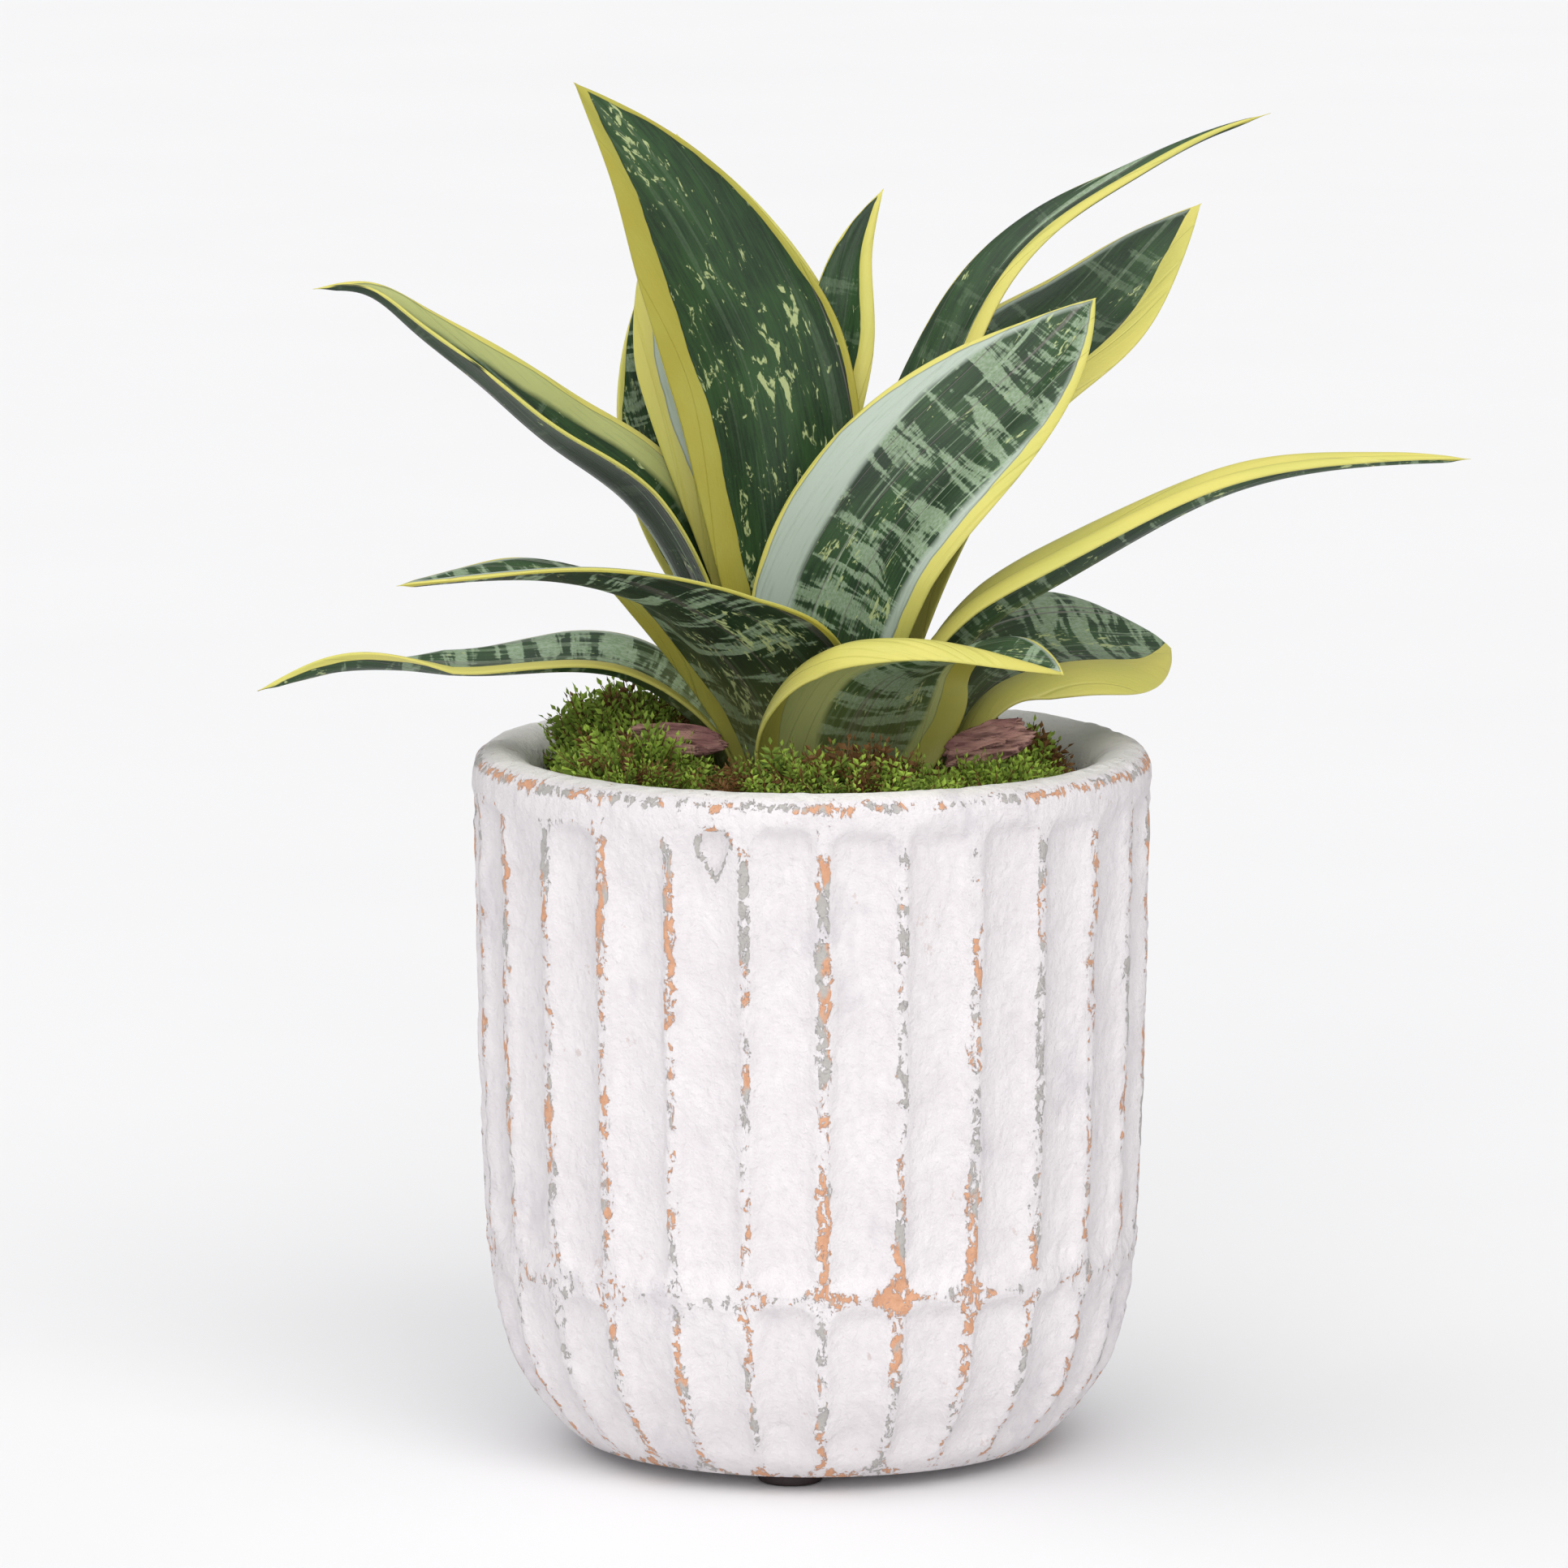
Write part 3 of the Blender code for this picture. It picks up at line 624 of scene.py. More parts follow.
# each cushion: its CAD node; centre, half lengths, top height and turn; sprig count and lengths; the browned
# share; how much the sprigs point upwards
mossSettings = {
    "bottom": 117.4,
    "wall": 49.8,
    "wallTop": 127.0,
    "bodyShare": 0.94,
    "sprigRoom": 2.6,
    "sprigSink": (0.6, 2.6),
    "sprigWidth": 0.26,
    "cushions": {
        "mossFront": (
            "moss_front", (3.0, -37.5, 26.0, 13.0, 129.4, 0.0), 1000, (5.0, 9.4), 0.36, 0.6),
        "mossLeft": (
            "moss_left", (-32.0, -21.0, 13.5, 15.0, 129.5, 20.0), 700, (5.5, 9.4), 0.14, 0.8),
        "mossBackLeft": (
            "moss_back_left", (-34.5, 14.0, 11.5, 17.0, 132.0, -10.0), 640, (6.0, 10.6), 0.2, 1.1),
        "mossBack": (
            "moss_back", (2.0, 42.0, 26.0, 8.0, 125.0, 0.0), 600, (5.2, 8.2), 0.25, 0.7),
        "mossRight": (
            "moss_right", (36.0, 9.0, 8.0, 18.0, 125.5, 5.0), 560, (5.6, 9.4), 0.5, 1.0),
        "mossRightFront": (
            "moss_right_front", (32.5, -24.0, 11.5, 13.0, 126.5, -20.0), 620, (5.5, 8.4), 0.1, 0.7),
    },
}


def sprigShape(width):
    # a bent three-sided stem, one unit tall, with pairs of pointed leaflets like a fern's and one at its tip
    heights = np.array([0.0, 0.5, 1.0])[:, None]
    turn = np.arange(3) * fullTurn / 3
    thick = 0.024 * (1.0 - 0.6 * heights)
    stem = stacked(np.cos(turn) * thick + 0.22 * heights ** 2, np.sin(turn) * thick, heights).reshape(-1, 3)
    faces = [(0, 2, 1), (6, 7, 8)]
    for low in range(6):
        beside = low - low % 3 + (low + 1) % 3
        faces += [(low, beside, beside + 3), (low, beside + 3, low + 3)]
    points, pairs = [stem], 5
    for leaflet in range(2 * pairs + 1):
        level = leaflet // 2 / pairs
        isTip = leaflet == 2 * pairs
        long = 0.29 * math.sin(math.pi * (0.3 + 0.5 * level))
        out = unit(np.array([0.3, 0.0 if isTip else 1.0 - 2.0 * (leaflet % 2), 1.0 if isTip else 0.6]))
        sideways = unit(np.cross(out, (1.0, 0.0, 0.0)))
        high = 0.18 + 0.82 * level
        middle = np.array([0.22 * high ** 2, 0.0, high])
        broad = middle + out * long * 0.45 + np.cross(out, sideways) * long * 0.12
        half = sideways * width * long
        points.append([middle, broad + half, broad - half, middle + out * long])
        first = len(stem) + 4 * leaflet
        faces += np.add([(0, 1, 3), (0, 3, 2), (0, 2, 1), (1, 2, 3)], first).tolist()
    points = np.concatenate(points)
    isLeaflet = np.arange(len(points)) >= len(stem)
    return points, np.array(faces), isLeaflet * 1.0


def makeMossMaterial():
    material, tree, shader = newMaterial("livingMoss", 0.75, 0.25)
    place = objectPlace(tree)
    random, high, leafy = split(attributeOf(tree, "sprig"))
    patches = noise(place, 130.0, 3.0, 0.6)
    green = blend(step(patches, 0.36, 0.62), tone(40, 66, 20), tone(118, 146, 46))
    green = blend(step(high, 0.35, 1.0), green, tone(170, 200, 82))
    deep = blend(0.5, green, tone(24, 44, 18))
    green = blend(step(random, 0.25, 0.75), deep, green)
    brown = blend(noise(place, 420.0), tone(72, 50, 28), tone(146, 106, 62))
    leaflet = blend(step(random, 0.985, 1.0), green, brown)
    dress(shader, blend(leafy, brown, leaflet), patches * 0.4 + 0.5)
    return material


def makeMoss(name, cushion, number, lengths, browning, reach, seed, settings, material):
    # a dome, its height a power of one less the share outwards squared, with sprigs that lean off its middle
    x, y, halfX, halfY, top, degrees = cushion
    draw = np.random.default_rng(seed)
    angle = math.radians(degrees)
    spin = np.array([[math.cos(angle), -math.sin(angle)], [math.sin(angle), math.cos(angle)]])
    bottom = settings["bottom"]
    underside = bottom - 0.4

    def domeHeight(share):
        return bottom + (top - bottom - settings["sprigRoom"]) * np.maximum(1.0 - share ** 2, 0.0) ** 0.42

    across = np.linspace(1.0, 0.04, 16)
    profile = np.concatenate([[(0.1, underside), (0.95, underside)], stacked(across, domeHeight(across))])
    rings = turnedPoints(profile, 64)
    rings[..., :2] = (rings[..., :2] * np.array([halfX, halfY]) * settings["bodyShare"]) @ spin.T + (x, y)
    rings[..., 2] += 0.8 * softNoise(rings, 2.2, seed) * (rings[..., 2] > bottom + 0.5)
    body, quads, fans = closedRings(rings, [(x, y, underside), (x, y, rings[-1, :, 2].mean())])
    share = np.sqrt(draw.uniform(0.0, 1.0, number)) * 1.02
    way = draw.uniform(0.0, fullTurn, number)
    flat = stacked(share * np.cos(way) * halfX, share * np.sin(way) * halfY) @ spin.T
    footHeight = domeHeight(np.minimum(share, 0.99)) - draw.uniform(*settings["sprigSink"], number)
    foot = np.c_[flat + (x, y), footHeight]
    outward = np.c_[flat / max(halfX, halfY) * 0.8, np.full(number, reach + 0.25)]
    outward += draw.normal(0.0, 0.78, (number, 3)) * (1.0, 1.0, 0.6)
    outward[:, 2] = np.abs(outward[:, 2]) + 0.1
    shape, shapeFaces, flags = sprigShape(settings["sprigWidth"])
    sizes = draw.uniform(*lengths, number) * (1.0 - 0.25 * share) * (1.0 + 0.3 * softNoise(foot, 5.0, 92))
    turns = turnsTo(unit(outward), draw.uniform(0, fullTurn, number))
    sprigs, sprigFaces = copiesOf(shape, shapeFaces, turns, sizes, foot)
    random = draw.uniform(0.0, 0.95, number)
    patch = softNoise(foot, 7.0, 91) + draw.normal(0.0, 0.28, number)
    random[patch > np.quantile(patch, 1.0 - browning)] = 1.0
    info = stacked(np.repeat(random, len(shape)), np.tile(shape[:, 2], number), np.tile(flags, number))
    info = np.concatenate([np.tile([0.2, 0.0, 1.0], (len(body), 1)), info])
    points = np.concatenate([body, sprigs])
    keepWithin(points, np.where(points[:, 2] < settings["wallTop"], settings["wall"], np.inf))
    triangles = np.concatenate([quads[:, [0, 1, 2]], quads[:, [0, 2, 3]], fans, sprigFaces + len(body)])
    return putMesh(name, points, triangles.tolist(), [material], {"sprig": info})


mossMaterial = makeMossMaterial()
for seed, (name, (node, *cushion)) in enumerate(mossSettings["cushions"].items(), 61):
    moss = makeMoss(name, *cushion, seed, mossSettings, mossMaterial)
    moss.data.polygons.foreach_set("use_smooth", np.zeros(len(moss.data.polygons), bool))
    settle(moss, node)
    print(name, "made:", len(moss.data.polygons), "faces")


# bark chips

# each chip: its CAD node, centre, half lengths, and turns in degrees
barkSettings = {
    "barkRight": ("bark_chip_right", (32.0, -17.0, 130.4), (8.4, 4.8, 1.2), (40.0, -18.0, 10.0)),
    "barkLeft": ("bark_chip_left", (-25.0, -16.5, 131.2), (9.0, 3.9, 1.1), (34.0, 4.0, -6.0)),
}


def turnMatrix(degrees):
    # turns about X, then Y, then Z
    matrix = np.eye(3)
    for axis, angle in enumerate(np.radians(degrees)):
        first, second = (axis + 1) % 3, (axis + 2) % 3
        turn = np.eye(3)
        turn[first, first] = turn[second, second] = math.cos(angle)
        turn[second, first] = math.sin(angle)
        turn[first, second] = -math.sin(angle)
        matrix = turn @ matrix
    return matrix


def makeBark(name, centre, half, turn, material, seed):
    # a split plate: rings from its rim to its middle, terraced in steps that run along the grain
    angle = np.linspace(0.0, fullTurn, 160, endpoint=False)
    share = np.linspace(1.0, 0.03, 26)[:, None]
    square = (np.abs(np.cos(angle)) ** 2.6 + np.abs(np.sin(angle)) ** 2.2) ** (-1 / 2.4)
    ragged = 0.16 * softNoise(stacked(angle * 3.0, 9.0 * np.sin(angle), 0.0 * share), 0.8, seed)
    uneven = 0.05 * softNoise(stacked(angle * 2.0, 5.0 * np.cos(angle), 0.0 * share), 1.2, seed + 5)
    x = square * np.cos(angle) * share * (1.0 + ragged * share ** 5) * half[0]
    y = square * np.sin(angle) * share * (1.0 + uneven * share ** 5) * half[1]
    steps = layeredNoise(stacked(x + 0.35 * y, y * 4.5 + 0.35 * x, 0.0 * x), (14.0, 6.0, 4.0), 2, seed + 1)
    steps = np.round(steps * 2.5) / 2.5 * 0.9 + 0.15 * steps
    edge = ramp(1.0 - share, 0.0, 0.10)
    cupped = 0.10 * y ** 2 / half[1]
    high = half[2] * (0.2 + 0.7 * edge + 1.25 * steps * edge) + cupped
    low = -half[2] * (0.2 + 0.75 * edge) - 0.3 * steps * edge + cupped
    rings = np.concatenate([stacked(x * 0.97, y * 0.95, low)[::-1], stacked(x, y, high)])
    poles = np.array([(0, 0, low[-1].mean()), (0, 0, high[-1].mean())])
    matrix = turnMatrix(turn).T
    return closedTurn(name, rings @ matrix + centre, poles @ matrix + centre, [material])


def makeBarkMaterial():
    material, tree, shader = newMaterial("splitBark", 0.9, 0.2)
    place = objectPlace(tree)
    fine, broad = grainOf(place, 0.0009)
    fibres = noise(stretched(place, (110.0, 620.0, 620.0)), 1.0, 4.0, 0.6, 0.2)
    colour = blend(step(fibres, 0.38, 0.58), tone(84, 58, 54), tone(192, 150, 138))
    colour = blend(step(broad, 0.4, 0.7), colour, tone(150, 106, 104))
    colour = blend(step(fine, 0.6, 0.72), colour, tone(74, 46, 44))
    dress(shader, colour, fibres * 0.25 + 0.7, fibres, 0.0012)
    return material


barkMaterial = makeBarkMaterial()
for seed, (name, (node, centre, half, turn)) in enumerate(barkSettings.items(), 81):
    settle(makeBark(name, centre, half, turn, barkMaterial, seed), node)
print("bark made")


# the thirteen leaves

leafShape = {
    "rows": 110,
    "columns": 37,
    "ribThickness": 1.7,
    "edgeThickness": 0.8,
    "pointHalfWidth": 0.10,
    "ripple": 0.35,
}

leafColours = {
    "deep": tone(19, 36, 24),
    "green": tone(47, 77, 40),
    "pale": tone(160, 179, 153),
    "yellow": tone(214, 205, 106),
    # olive: the yellow margin painted darker, as painted shade for the margins of undersides that face down
    # into shadow
    "olive": tone(178, 168, 66),
    "mauve": tone(118, 110, 108),
    "band": tone(177, 190, 176),
    "oliveBand": tone(178, 184, 118),
}


def face(margins, bands, bars, specks, lines, grooves=0.35, dark=0.0, edge="yellow", band="band",
         bandEnd=900.0):
    # one side of a leaf as values for its pattern: widths of the left and right margin and of the pale bands
    # inside them, amounts of each marking, the amount of painted shade (dark) laid over a shaded underside,
    # the margins' and bands' colours, and how far along the bands reach
    return {"Margin Left": margins[0], "Margin Right": margins[1], "Band Left": bands[0],
            "Band Right": bands[1], "Bars": bars, "Specks": specks, "Lines": lines, "Grooves": grooves,
            "Painted Shade": dark, "Band End": bandEnd, "Yellow": leafColours[edge], "Pale Band": leafColours[band]}


# heading: the way the leaf leans, from +X; width: greatest width laid flat; base, peak, rise, tip: how it
# widens and closes; roll: turn of the blade about its rib; fold: rise beside the rib; curl: turn-down of the
# left and right margin; rib: middle line from base to tip
leafSettings = {
    "leafTallFront": dict(
        node="leaf_tall_front", heading=-90, width=34, base=0.36, peak=0.58, rise=1.2, tip=(1.6, 1.0),
        roll=[0], fold=[40, 25, 20, 20], curl=([50, 40, 30], [50, 40, 40]),
        rib=[(-1, 3, 112), (-3, 1, 150), (-6, -1, 178), (-10, -3, 198), (-18, -7, 216), (-28, -12, 233.5),
             (-43, -18, 251.5)],
        upper=face((2.0, 4.0), (2.0, 0.0), 0.5, 0.3, 0.4),
        # the olive margins of this underside are painted shade
        under=face((1.0, 6.0), (0.0, 0.0), 0.0, 0.8, 0.1, grooves=0.6, edge="olive")),
    "leafTallBack": dict(
        node="leaf_tall_back", heading=90, width=39, base=0.28, peak=0.68, rise=1.6, tip=(1.6, 1.0),
        roll=[0], fold=[35, 20, 15], curl=([40, 30, 25], [40, 30, 25]),
        rib=[(-3, 13, 112), (-4, 12, 145), (-7, 12, 172), (-11.5, 15, 191), (-16.5, 18, 209),
             (-21, 21, 225), (-25, 25, 238)],
        upper=face((3.6, 5.0), (9.0, 1.5), 0.4, 0.3, 0.4),
        under=face((3.0, 3.0), (0.0, 2.0), 0.5, 0.4, 0.2)),
    "leafBackLeft": dict(
        node="leaf_back_left", heading=120, width=28.5, base=0.36, peak=0.5, rise=0.85, tip=(2.0, 1.0),
        roll=[0], fold=[45, 30, 20], curl=([40, 40, 30], [40, 40, 30]),
        rib=[(0, 28.5, 112), (-8.5, 32.8, 143), (-21.5, 33, 166), (-28.5, 33, 182), (-31.5, 34.5, 195),
             (-33, 37, 205)],
        upper=face((1.2, 2.0), (0.0, 1.0), 0.45, 0.9, 0.1, band="oliveBand"),
        under=face((1.5, 2.0), (1.0, 0.0), 0.5, 0.5, 0.2)),
    "leafSlimUpright": dict(
        node="leaf_slim_upright", heading=80, width=18, base=0.4, peak=0.6, rise=1.0, tip=(1.8, 1.0),
        roll=[0], fold=[50, 40, 30], curl=([50, 40, 30], [60, 60, 50]),
        rib=[(0, 8, 112), (-1, 8, 150), (-1.5, 8, 172), (1, 8.5, 188), (5, 10, 202), (7.5, 12, 217),
             (13, 14, 229)],
        upper=face((0.5, 3.2), (0.0, 0.0), 0.15, 0.5, 0.1),
        under=face((0.8, 2.2), (0.0, 0.0), 0.3, 0.5, 0.2)),
    "leafRightHigh": dict(
        node="leaf_right_high", heading=26, width=25, base=0.35, peak=0.45, rise=1.0, tip=(1.3, 1.2),
        roll=[0], fold=[60, 50, 40], curl=([60, 50, 40], [80, 90, 80]),
        rib=[(13, 6, 112), (16, 8, 150), (20.5, 12.5, 178), (26.5, 17, 195), (34, 21, 210), (45, 26, 221),
             (60, 32, 230), (73, 37, 236.5), (85, 40, 240.5)],
        upper=face((0.6, 3.6), (0.0, 0.0), 0.12, 0.3, 0.8),
        under=face((0.8, 0.9), (0.0, 0.0), 0.15, 0.4, 0.5)),
    "leafRightBack": dict(
        node="leaf_right_back", heading=32, width=33, base=0.25, peak=0.58, rise=1.2, tip=(2.0, 1.0),
        roll=[0, -20, -30], fold=[35, 30, 15], curl=([40, 30, 20], [40, 30, 20]),
        rib=[(11, 22, 112), (16.5, 25.5, 150), (25, 24, 176), (38.5, 27, 192.5), (52.5, 33, 203),
             (62, 39, 212.5), (72.5, 46, 223)],
        upper=face((0.9, 6.4), (0.6, 0.0), 0.16, 0.6, 0.25),
        under=face((1.0, 4.4), (0.6, 0.0), 0.4, 0.5, 0.2)),
    "leafRightFront": dict(
        node="leaf_right_front", heading=20, width=36, base=0.3, peak=0.5, rise=1.0, tip=(2.6, 0.95),
        roll=[-50, -40, -40], fold=[20, 35, 30], curl=([40, 30, 20], [50, 60, 60]),
        rib=[(2, -5, 112), (1.5, -9, 140), (8, -13, 162), (18, -14, 176.5), (32, -11, 190),
             (43, -8, 200.5), (51.5, -5, 211)],
        upper=face((0.9, 2.6), (7.4, 1.6), 0.62, 0.5, 0.9, grooves=0.6, bandEnd=112.0),
        under=face((1.0, 1.8), (1.0, 0.0), 0.4, 0.5, 0.3)),
    "leafRightLong": dict(
        node="leaf_right_long", heading=-10, width=30, base=0.3, peak=0.4, rise=1.0, tip=(1.3, 1.0),
        roll=[0], fold=[40, 55, 50, 45], curl=([60, 60, 50], [100, 110, 100]),
        rib=[(17, -6.5, 112), (18, -7.5, 130), (22.5, -9, 141), (31, -10.5, 151), (43, -12, 159),
             (59.5, -15, 169), (76, -18, 177.5), (96.5, -20, 182.2), (119, -21, 183.5)],
        upper=face((9.0, 10.0), (0.0, 0.0), 0.3, 0.4, 0.3),
        under=face((1.0, 0.6), (0.0, 0.0), 0.3, 0.8, 0.15)),
    "leafRightLow": dict(
        node="leaf_right_low", heading=20, width=39, base=0.25, peak=0.65, rise=1.4, tip=(2.8, 0.8),
        roll=[0, -18, -22], fold=[25, 20, 10], curl=([30, 30, 30], [40, 50, 50]),
        rib=[(22.5, 2, 112), (25, 3, 128), (30.5, 7.5, 138), (40, 12, 143), (51, 16, 144), (60, 19.5, 143),
             (66.5, 22, 142.8)],
        upper=face((0.5, 10.5), (0.0, 0.0), 0.7, 0.3, 0.45, grooves=0.7),
        under=face((0.8, 8.0), (0.0, 0.0), 0.6, 0.4, 0.2)),
    "leafFront": dict(
        node="leaf_front", heading=-50, width=46, base=0.44, peak=0.42, rise=1.2, tip=(2.2, 0.9),
        roll=[30, 10, 0], fold=[12, 20, 35], curl=([40, 40, 40], [60, 100, 60]),
        rib=[(4.5, -21, 112), (5, -21.5, 128), (8, -25, 137), (13, -29.5, 144.5), (22, -35, 148.5),
             (32, -40, 149.5), (45, -45, 147.5)],
        upper=face((3.0, 7.4), (1.0, 3.0), 0.5, 0.3, 0.2),
        # the olive margins of this underside are painted shade
        under=face((5.8, 8.4), (2.0, 8.0), 0.9, 0.1, 0.3, grooves=0.5, edge="olive", band="oliveBand")),
    "leafLeftFront": dict(
        node="leaf_left_front", heading=-135, width=48, base=0.22, peak=0.4, rise=1.4, tip=(1.4, 1.1),
        roll=[-20, 0, 0], fold=[30, 25, 20], curl=([30, 30, 25], [30, 30, 20]),
        rib=[(-6.5, -12, 112), (-7, -15, 131), (-13, -22, 145), (-22, -31, 155), (-33, -40, 161.5),
             (-47, -48, 165.5), (-60, -55, 166.5), (-74, -60, 165.7)],
        upper=face((1.6, 2.4), (4.0, 1.0), 0.5, 0.3, 0.3),
        # dark: painted shade over this underside; its olive margins are painted shade too
        under=face((1.6, 5.6), (0.0, 0.0), 0.4, 0.55, 0.1, dark=1.0, edge="olive")),
    "leafLeftLow": dict(
        node="leaf_left_low", heading=175, width=25, base=0.28, peak=0.45, rise=1.5, tip=(1.4, 1.2),
        roll=[5, 8, 5, -60], fold=[50, 30, 25], curl=([40, 40, 30], [40, 40, 30]),
        rib=[(-14.5, 2, 112), (-16.5, 1, 126), (-23, 0.5, 134.2), (-34, 0, 141.2), (-47, -1, 142.7),
             (-61, -2, 142), (-75, -4, 142.9), (-88, -6, 143), (-101.5, -7, 139)],
        upper=face((3.0, 0.8), (0.0, 1.0), 0.75, 0.3, 0.3),
        under=face((2.6, 0.8), (0.0, 0.0), 0.3, 0.5, 0.3)),
    "leafLeftHigh": dict(
        node="leaf_left_high", heading=165, width=30, base=0.3, peak=0.45, rise=1.0, tip=(1.5, 1.1),
        roll=[-20, -5, 5, 5], fold=[40, 50, 50], curl=([20, 20, 20], [40, 40, 30]),
        rib=[(-17, 14, 112), (-20, 12.5, 145), (-25, 8, 160), (-34, 2, 174), (-47, -4, 184.5),
             (-61, -8, 197), (-73, -11, 207), (-81, -12, 213), (-90.5, -13, 213.6)],
        upper=face((2.4, 1.8), (0.6, 4.6), 0.15, 0.3, 0.3, band="oliveBand"),
        # dark: painted shade over this underside
        under=face((0.6, 1.0), (0.0, 0.0), 0.1, 0.2, 0.8, dark=0.8)),
}


def along(values, share):
    # evenly spaced values, in straight lines between them
    return np.interp(share, np.linspace(0.0, 1.0, len(values)), values)


def ribFrame(leaf, share):
    # points down the rib with the blade's sideways and upward directions at each, and the rib's length
    control = np.array(leaf["rib"], float)
    chord = np.r_[0.0, np.cumsum(np.linalg.norm(np.diff(control, axis=0), axis=1))]
    fine = splineThrough(chord, control, np.linspace(0.0, chord[-1], 400))
    travelled = np.r_[0.0, np.cumsum(np.linalg.norm(np.diff(fine, axis=0), axis=1))]
    slope = np.gradient(fine, axis=0)
    at = share * travelled[-1]
    rib = np.stack([np.interp(at, travelled, fine[:, k]) for k in range(3)], axis=1)
    tangent = unit(np.stack([np.interp(at, travelled, slope[:, k]) for k in range(3)], axis=1))
    heading = math.radians(leaf["heading"])
    side = np.array([math.sin(heading), -math.cos(heading), 0.0])
    side = unit(side - tangent * (tangent @ side)[:, None])
    upward = np.cross(side, tangent)
    roll = np.radians(along(leaf["roll"], share))[:, None]
    turnedSide = side * np.cos(roll) + upward * np.sin(roll)
    return rib, turnedSide, upward * np.cos(roll) - side * np.sin(roll), travelled[-1]


def halfWidthAt(leaf, share):
    # sine growth to the widest place, then a power curve down to the point
    peak = leaf["peak"]
    growth = np.sin(np.clip(share / peak, 0.0, 1.0) * math.pi / 2) ** leaf["rise"]
    widening = leaf["base"] + (1.0 - leaf["base"]) * growth
    rest = np.clip((share - peak) / (1.0 - peak), 0.0, 1.0)
    closing = (1.0 - rest ** leaf["tip"][0]) ** leaf["tip"][1]
    return leaf["width"] / 2 * np.maximum(np.where(share < peak, widening, closing), 0.0)


def leafBlade(leaf, share, across):
    # the blade's middle surface: out from the rib its section rises by the fold, then turns down by the curl
    rib, side, upward, length = ribFrame(leaf, share)
    width = np.maximum(halfWidthAt(leaf, share), leafShape["pointHalfWidth"])
    fine = np.linspace(0.0, 1.0, 81)
    fold = np.radians(along(leaf["fold"], share))[:, None]
    blade = np.zeros((len(share), len(across), 3))
    for sign, curl in ((-1.0, leaf["curl"][0]), (1.0, leaf["curl"][1])):
        lean = fold * ramp(fine, 0.0, 0.45) - np.radians(along(curl, share))[:, None] * ramp(fine, 0.45, 1.0)
        step = (fine[1] - fine[0]) / 2
        out = np.cumsum(np.cos(lean[:, 1:]) + np.cos(lean[:, :-1]), axis=1) * step
        lift = np.cumsum(np.sin(lean[:, 1:]) + np.sin(lean[:, :-1]), axis=1) * step
        out = np.concatenate([np.zeros((len(share), 1)), out], axis=1)
        lift = np.concatenate([np.zeros((len(share), 1)), lift], axis=1)
        chosen = np.where(across * sign >= 0.0)[0]
        place = np.abs(across[chosen]) * (len(fine) - 1)
        low = np.minimum(place.astype(int), len(fine) - 2)
        part = place - low
        reach = (out[:, low] * (1 - part) + out[:, low + 1] * part) * width[:, None]
        raised = (lift[:, low] * (1 - part) + lift[:, low + 1] * part) * width[:, None]
        blade[:, chosen] = (rib[:, None] + side[:, None] * (sign * reach)[..., None]
                            + upward[:, None] * raised[..., None])
    return blade, width, length


def makeLeaf(name, leaf, seed):
    # the blade thickened to both sides: thin at its margins, thicker at the rib, rounded at the very edge
    share = 1.0 - (1.0 - np.linspace(0.0, 1.0, leafShape["rows"])) ** 1.15
    across = np.sin(np.linspace(-1.0, 1.0, leafShape["columns"]) * math.pi / 2 * 0.92)
    across /= across[-1]
    blade, width, length = leafBlade(leaf, share, across)
    normal = unit(np.cross(np.gradient(blade, axis=0), np.gradient(blade, axis=1)))
    down, wide = share[:, None], width[:, None]
    flat = stacked(across * wide, down * length, 50.0 * seed)
    margin = ramp(np.abs(across), 0.5, 1.0) * ramp(down, 0.08, 0.3) * (1 - ramp(down, 0.9, 1.0))
    wave = leafShape["ripple"] * softNoise(flat * (0.3, 1.0, 1.0), 17.0, seed) * margin
    furrow = 0.07 * softNoise(flat * (1.0, 0.02, 1.0), 1.9, seed + 3) * (1 - ramp(down, 0.8, 1.0))
    thin, thick = leafShape["edgeThickness"], leafShape["ribThickness"]
    thickness = (thin + (thick - thin) * (1 - across ** 2)) * (1.0 - 0.35 * down)
    thickness = np.minimum(thickness, 0.35 + wide * 0.9) * (1 - 0.75 * ramp(down, 0.97, 1.0))
    pastEdge = np.maximum(np.abs(across) * wide - (wide - 0.45), 0)
    profile = np.sqrt(np.clip(1 - pastEdge ** 2 / 0.28, 0.1, 1))
    middle = blade + normal * wave[..., None]
    lift = normal * ((thickness / 2 + furrow) * profile)[..., None]
    rings = np.concatenate([middle - lift, (middle + lift)[:, ::-1]], axis=1)
    poles = [rings[0].mean(0), rings[-1].mean(0) + (blade[-1, 0] - blade[-2, 0]) * 0.5]
    points, quads, fans = closedRings(rings, poles)
    ringAcross = np.r_[across, across[::-1]]
    isUnder = np.tile(np.arange(len(ringAcross)) >= len(across), len(share) - 1)
    bladeMap = stacked(ringAcross * wide, down * length, wide).reshape(-1, 3)
    bladeMap = np.concatenate([bladeMap, [[0, 0, width[0]], [0, length, width[-1]]]])
    materials = [makeLeafMaterial(name + side, leaf[side.lower()], seed + shift, leaf["width"])
                 for shift, side in ((0.0, "Upper"), (0.5, "Under"))]
    return putMesh(name, points, quads.tolist() + fans.tolist(), materials, {"blade": bladeMap},
                   np.r_[isUnder, np.zeros(len(fans))])


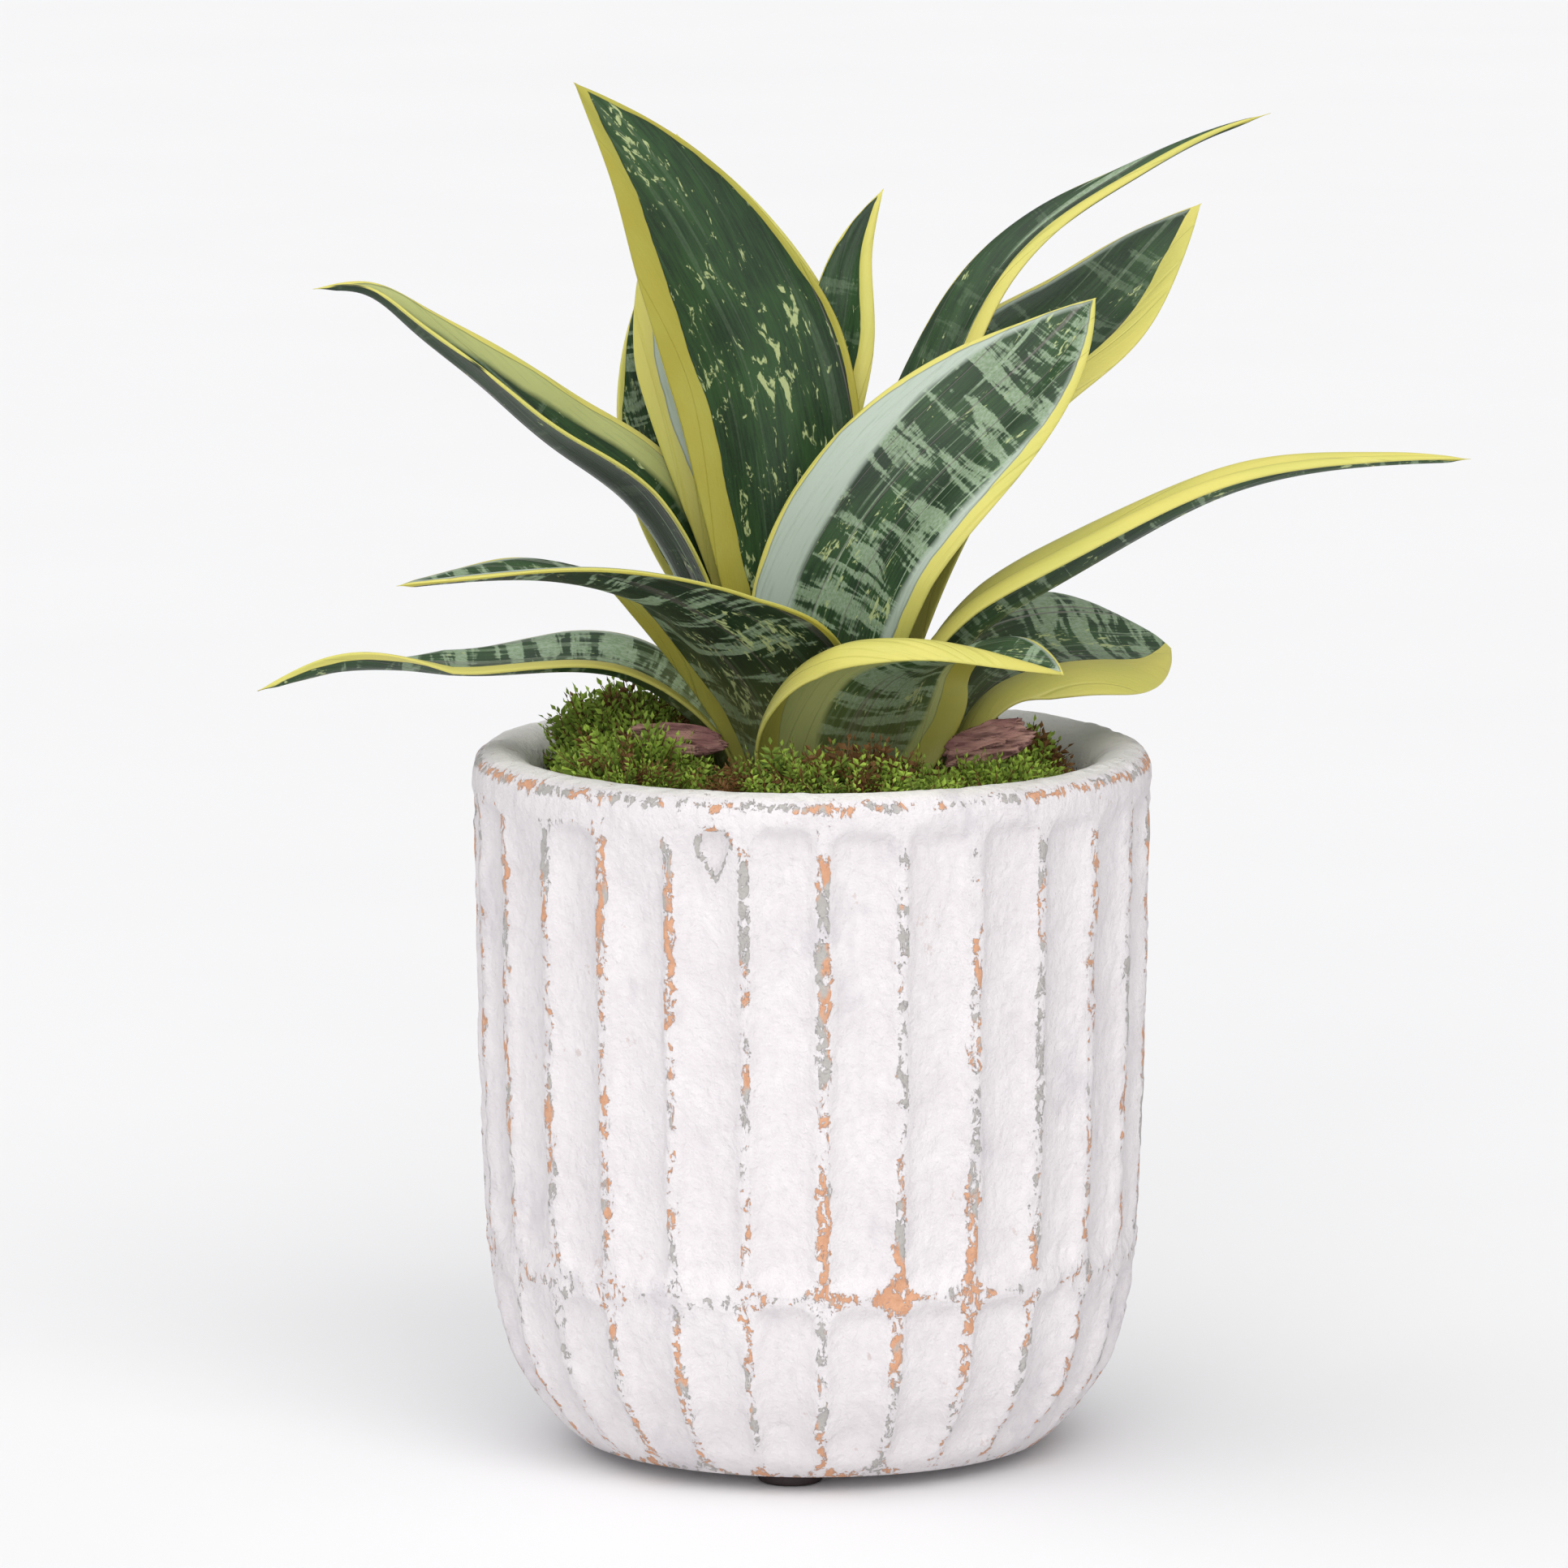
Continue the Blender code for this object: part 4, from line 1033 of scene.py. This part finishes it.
def makeLeafPattern():
    # leaf markings from the blade map: x across from the rib, y along it, z the half width, in millimetres
    amounts = ("Seed", "Widest", "Margin Left", "Margin Right", "Band Left", "Band Right", "Band End", "Bars",
               "Specks", "Lines", "Grooves", "Painted Shade")
    inputs = {"Blade": "Vector", **dict.fromkeys(amounts, "Float"), "Yellow": "Color", "Pale Band": "Color"}
    group, entry, leave = newGroup("leafPattern", inputs, {"Colour": "Color", "Height": "Float"})
    x, y, halfWidth = split(entry["Blade"])
    flat = joined(x, y)

    def pattern(shift, acrossScale, alongScale, detail, rough, distortion=0.0):
        place = stretched(flat, (acrossScale, alongScale, 1.0), entry["Seed"] + shift)
        return noise(place, 1.0, detail, rough, distortion)

    wobble = (pattern(3.0, 0.12, 0.05, 3.0, 0.5) - 0.5) * 2.2
    fibre = pattern(7.0, 1.9, 0.11, 4.0, 0.6)
    broad = pattern(11.0, 0.11, 0.05, 2.0, 0.5)
    fine = pattern(41.0, 2.6, 1.3, 3.0, 0.6)
    barred = pattern(17.0, 0.055, 0.30, 3.0, 0.6, 0.5) + (fibre - 0.5) * 0.26 + (entry["Bars"] - 0.62) * 0.16
    bars = step(barred, 0.49, 0.565) * step(entry["Bars"], 0.0, 0.45)
    specked = pattern(23.0, 0.70, 0.24, 3.0, 0.7, 0.5) + (broad - 0.5) * 0.5
    specked = specked + entry["Specks"] * 0.1 + step(y, 130.0, 40.0) * 0.05
    lines = step(pattern(29.0, 0.75, 0.010, 2.0, 0.5), 0.60, 0.66) * entry["Lines"]
    groove = 1.0 - step(calc("ABSOLUTE", pattern(37.0, 0.20, 0.004, 1.0, 0.4) - 0.5), 0.0, 0.022)
    colour = blend(step(fibre * 0.5 + broad * 0.5, 0.36, 0.64), leafColours["deep"], leafColours["green"])
    colour = blend(fine * 0.3, colour, tone(62, 98, 52))
    # painted shade: the dark amount darkens an underside that hangs in shadow toward near-black
    colour = blend(entry["Painted Shade"] * 0.55, colour, tone(20, 28, 24))
    paleTint = blend(step(fine, 0.35, 0.65), tone(132, 156, 118), leafColours["pale"])
    colour = blend(bars * 0.8, colour, paleTint)
    colour = blend(step(specked, 0.715, 0.79), colour, tone(178, 190, 132))
    colour = blend(lines, colour, paleTint)
    colour = blend(groove * entry["Grooves"], colour, leafColours["mauve"])
    # the margins and the bands inside them narrow with the blade; the bands fade before the tip
    taper = calc("MINIMUM", calc("DIVIDE", halfWidth, entry["Widest"]), 1.0)
    taper = calc("POWER", taper, 0.7) * 0.85 + 0.15
    bandTaper = taper * (1.0 - step(y, entry["Band End"] - 60.0, entry["Band End"]) * 0.85)
    masks = []
    for fromEdge, side in ((halfWidth + x, "Left"), (halfWidth - x, "Right")):
        past = entry["Margin " + side] * taper - (fromEdge + wobble)
        band = entry["Band " + side]
        inBand = calc("ADD", (past + band * bandTaper) * 0.9, 0.5, clamp=True)
        masks.append((calc("ADD", past * 1.8, 0.5, clamp=True), inBand * step(band, 0.0, 0.5)))
    marginMask, bandMask = (calc("MAXIMUM", left, right) for left, right in zip(*masks))
    bandTint = blend(step(fibre, 0.5, 0.8) * 0.35, entry["Pale Band"], tone(96, 128, 92))
    colour = blend(bandMask, colour, bandTint)
    rimLine = 1.0 - calc("ABSOLUTE", marginMask * 2.0 - 1.0)
    colour = blend(rimLine * 0.55, colour, leafColours["deep"])
    edgeTint = blend(step(broad, 0.35, 0.65) * 0.3, entry["Yellow"], tone(184, 190, 96))
    edgeTint = blend(step(fibre, 0.55, 0.8) * 0.18, edgeTint, tone(160, 160, 70))
    colour = blend(step(marginMask, 0.45, 0.75), colour, edgeTint)
    nearBase = 1.0 - step(y, 6.0, 46.0)
    feed(blend(nearBase * 0.5, colour, tone(150, 154, 88)), leave["Colour"])
    feed(fibre * 0.5 + fine * 0.3 - groove * 0.7, leave["Height"])
    return group


leafPattern = makeLeafPattern()


def makeLeafMaterial(name, look, seed, width):
    material, tree, shader = newMaterial(name + "Skin", 0.42, 0.4)
    place = {"Blade": attributeOf(tree, "blade"), "Seed": seed * 31.7, "Widest": width / 2}
    colour, height = useGroup(tree, leafPattern, {**look, **place})
    dress(shader, colour, height * 0.25 + 0.36, height, 0.00035, 0.5)
    return material


for seed, (name, leaf) in enumerate(leafSettings.items(), 1):
    settle(makeLeaf(name, leaf, seed), leaf["node"])
print("leaves made:", len(leafSettings))


# floor, light and camera

stageSettings = {
    "floorHeight": -3.0,
    "floorSize": 9000.0,
    "world": ((0.98, 0.985, 1.0, 1.0), 0.36),
    "camera": (-0.0052, -2.0, 0.4335),
    "pitch": 8.89,
    "lens": 252.7,
    "suns": {
        "keyLight": ((0.45, -0.85, 0.95), 34.0, 0.76, (1.0, 0.985, 0.97)),
        "topLight": ((-0.25, -0.2, 1.0), 75.0, 1.5, (1.0, 1.0, 1.0)),
        "frontLight": ((-0.1, -1.0, 0.35), 40.0, 0.95, (1.0, 0.995, 0.99)),
    },
}


def makeFloor(settings):
    half, height = settings["floorSize"] / 2, settings["floorHeight"]
    material, tree, shader = newMaterial("paleFloor", 0.9, 0.2)
    broad = grainOf(objectPlace(tree), 0.02)[1]
    dress(shader, blend(broad, tone(240, 240, 241), tone(243, 243, 244)))
    corners = [(-half, -half, height), (half, -half, height), (half, half, height), (-half, half, height)]
    putMesh("floorSheet", np.array(corners), [(0, 1, 2, 3)], [material])


def makeSun(name, source, spread, strength, colour):
    # even light from one direction, spread in degrees, so that the floor is as pale far off as close by
    light = bpy.data.lights.new(name, "SUN")
    light.angle = math.radians(spread)
    light.energy = strength
    light.color = colour
    item = bpy.data.objects.new(name, light)
    bpy.context.scene.collection.objects.link(item)
    x, y, z = source
    item.rotation_euler = (math.atan2(math.hypot(x, y), z), 0.0, math.atan2(y, x) + math.pi / 2)


makeFloor(stageSettings)
for name, sun in stageSettings["suns"].items():
    makeSun(name, *sun)

world = bpy.data.worlds.new("studio")
bpy.context.scene.world = world
world.use_nodes = True
background = world.node_tree.nodes["Background"]
background.inputs["Color"].default_value, background.inputs["Strength"].default_value = stageSettings["world"]
bpy.context.scene.view_settings.view_transform = "Standard"

cameraData = bpy.data.cameras.new("studioCamera")
cameraData.lens = stageSettings["lens"]
cameraData.sensor_width = 36.0
camera = bpy.data.objects.new("studioCamera", cameraData)
bpy.context.scene.collection.objects.link(camera)
camera.location = stageSettings["camera"]
camera.rotation_euler = (math.radians(90.0 - stageSettings["pitch"]), 0.0, 0.0)
bpy.context.scene.camera = camera
print("floor, lights and camera set")
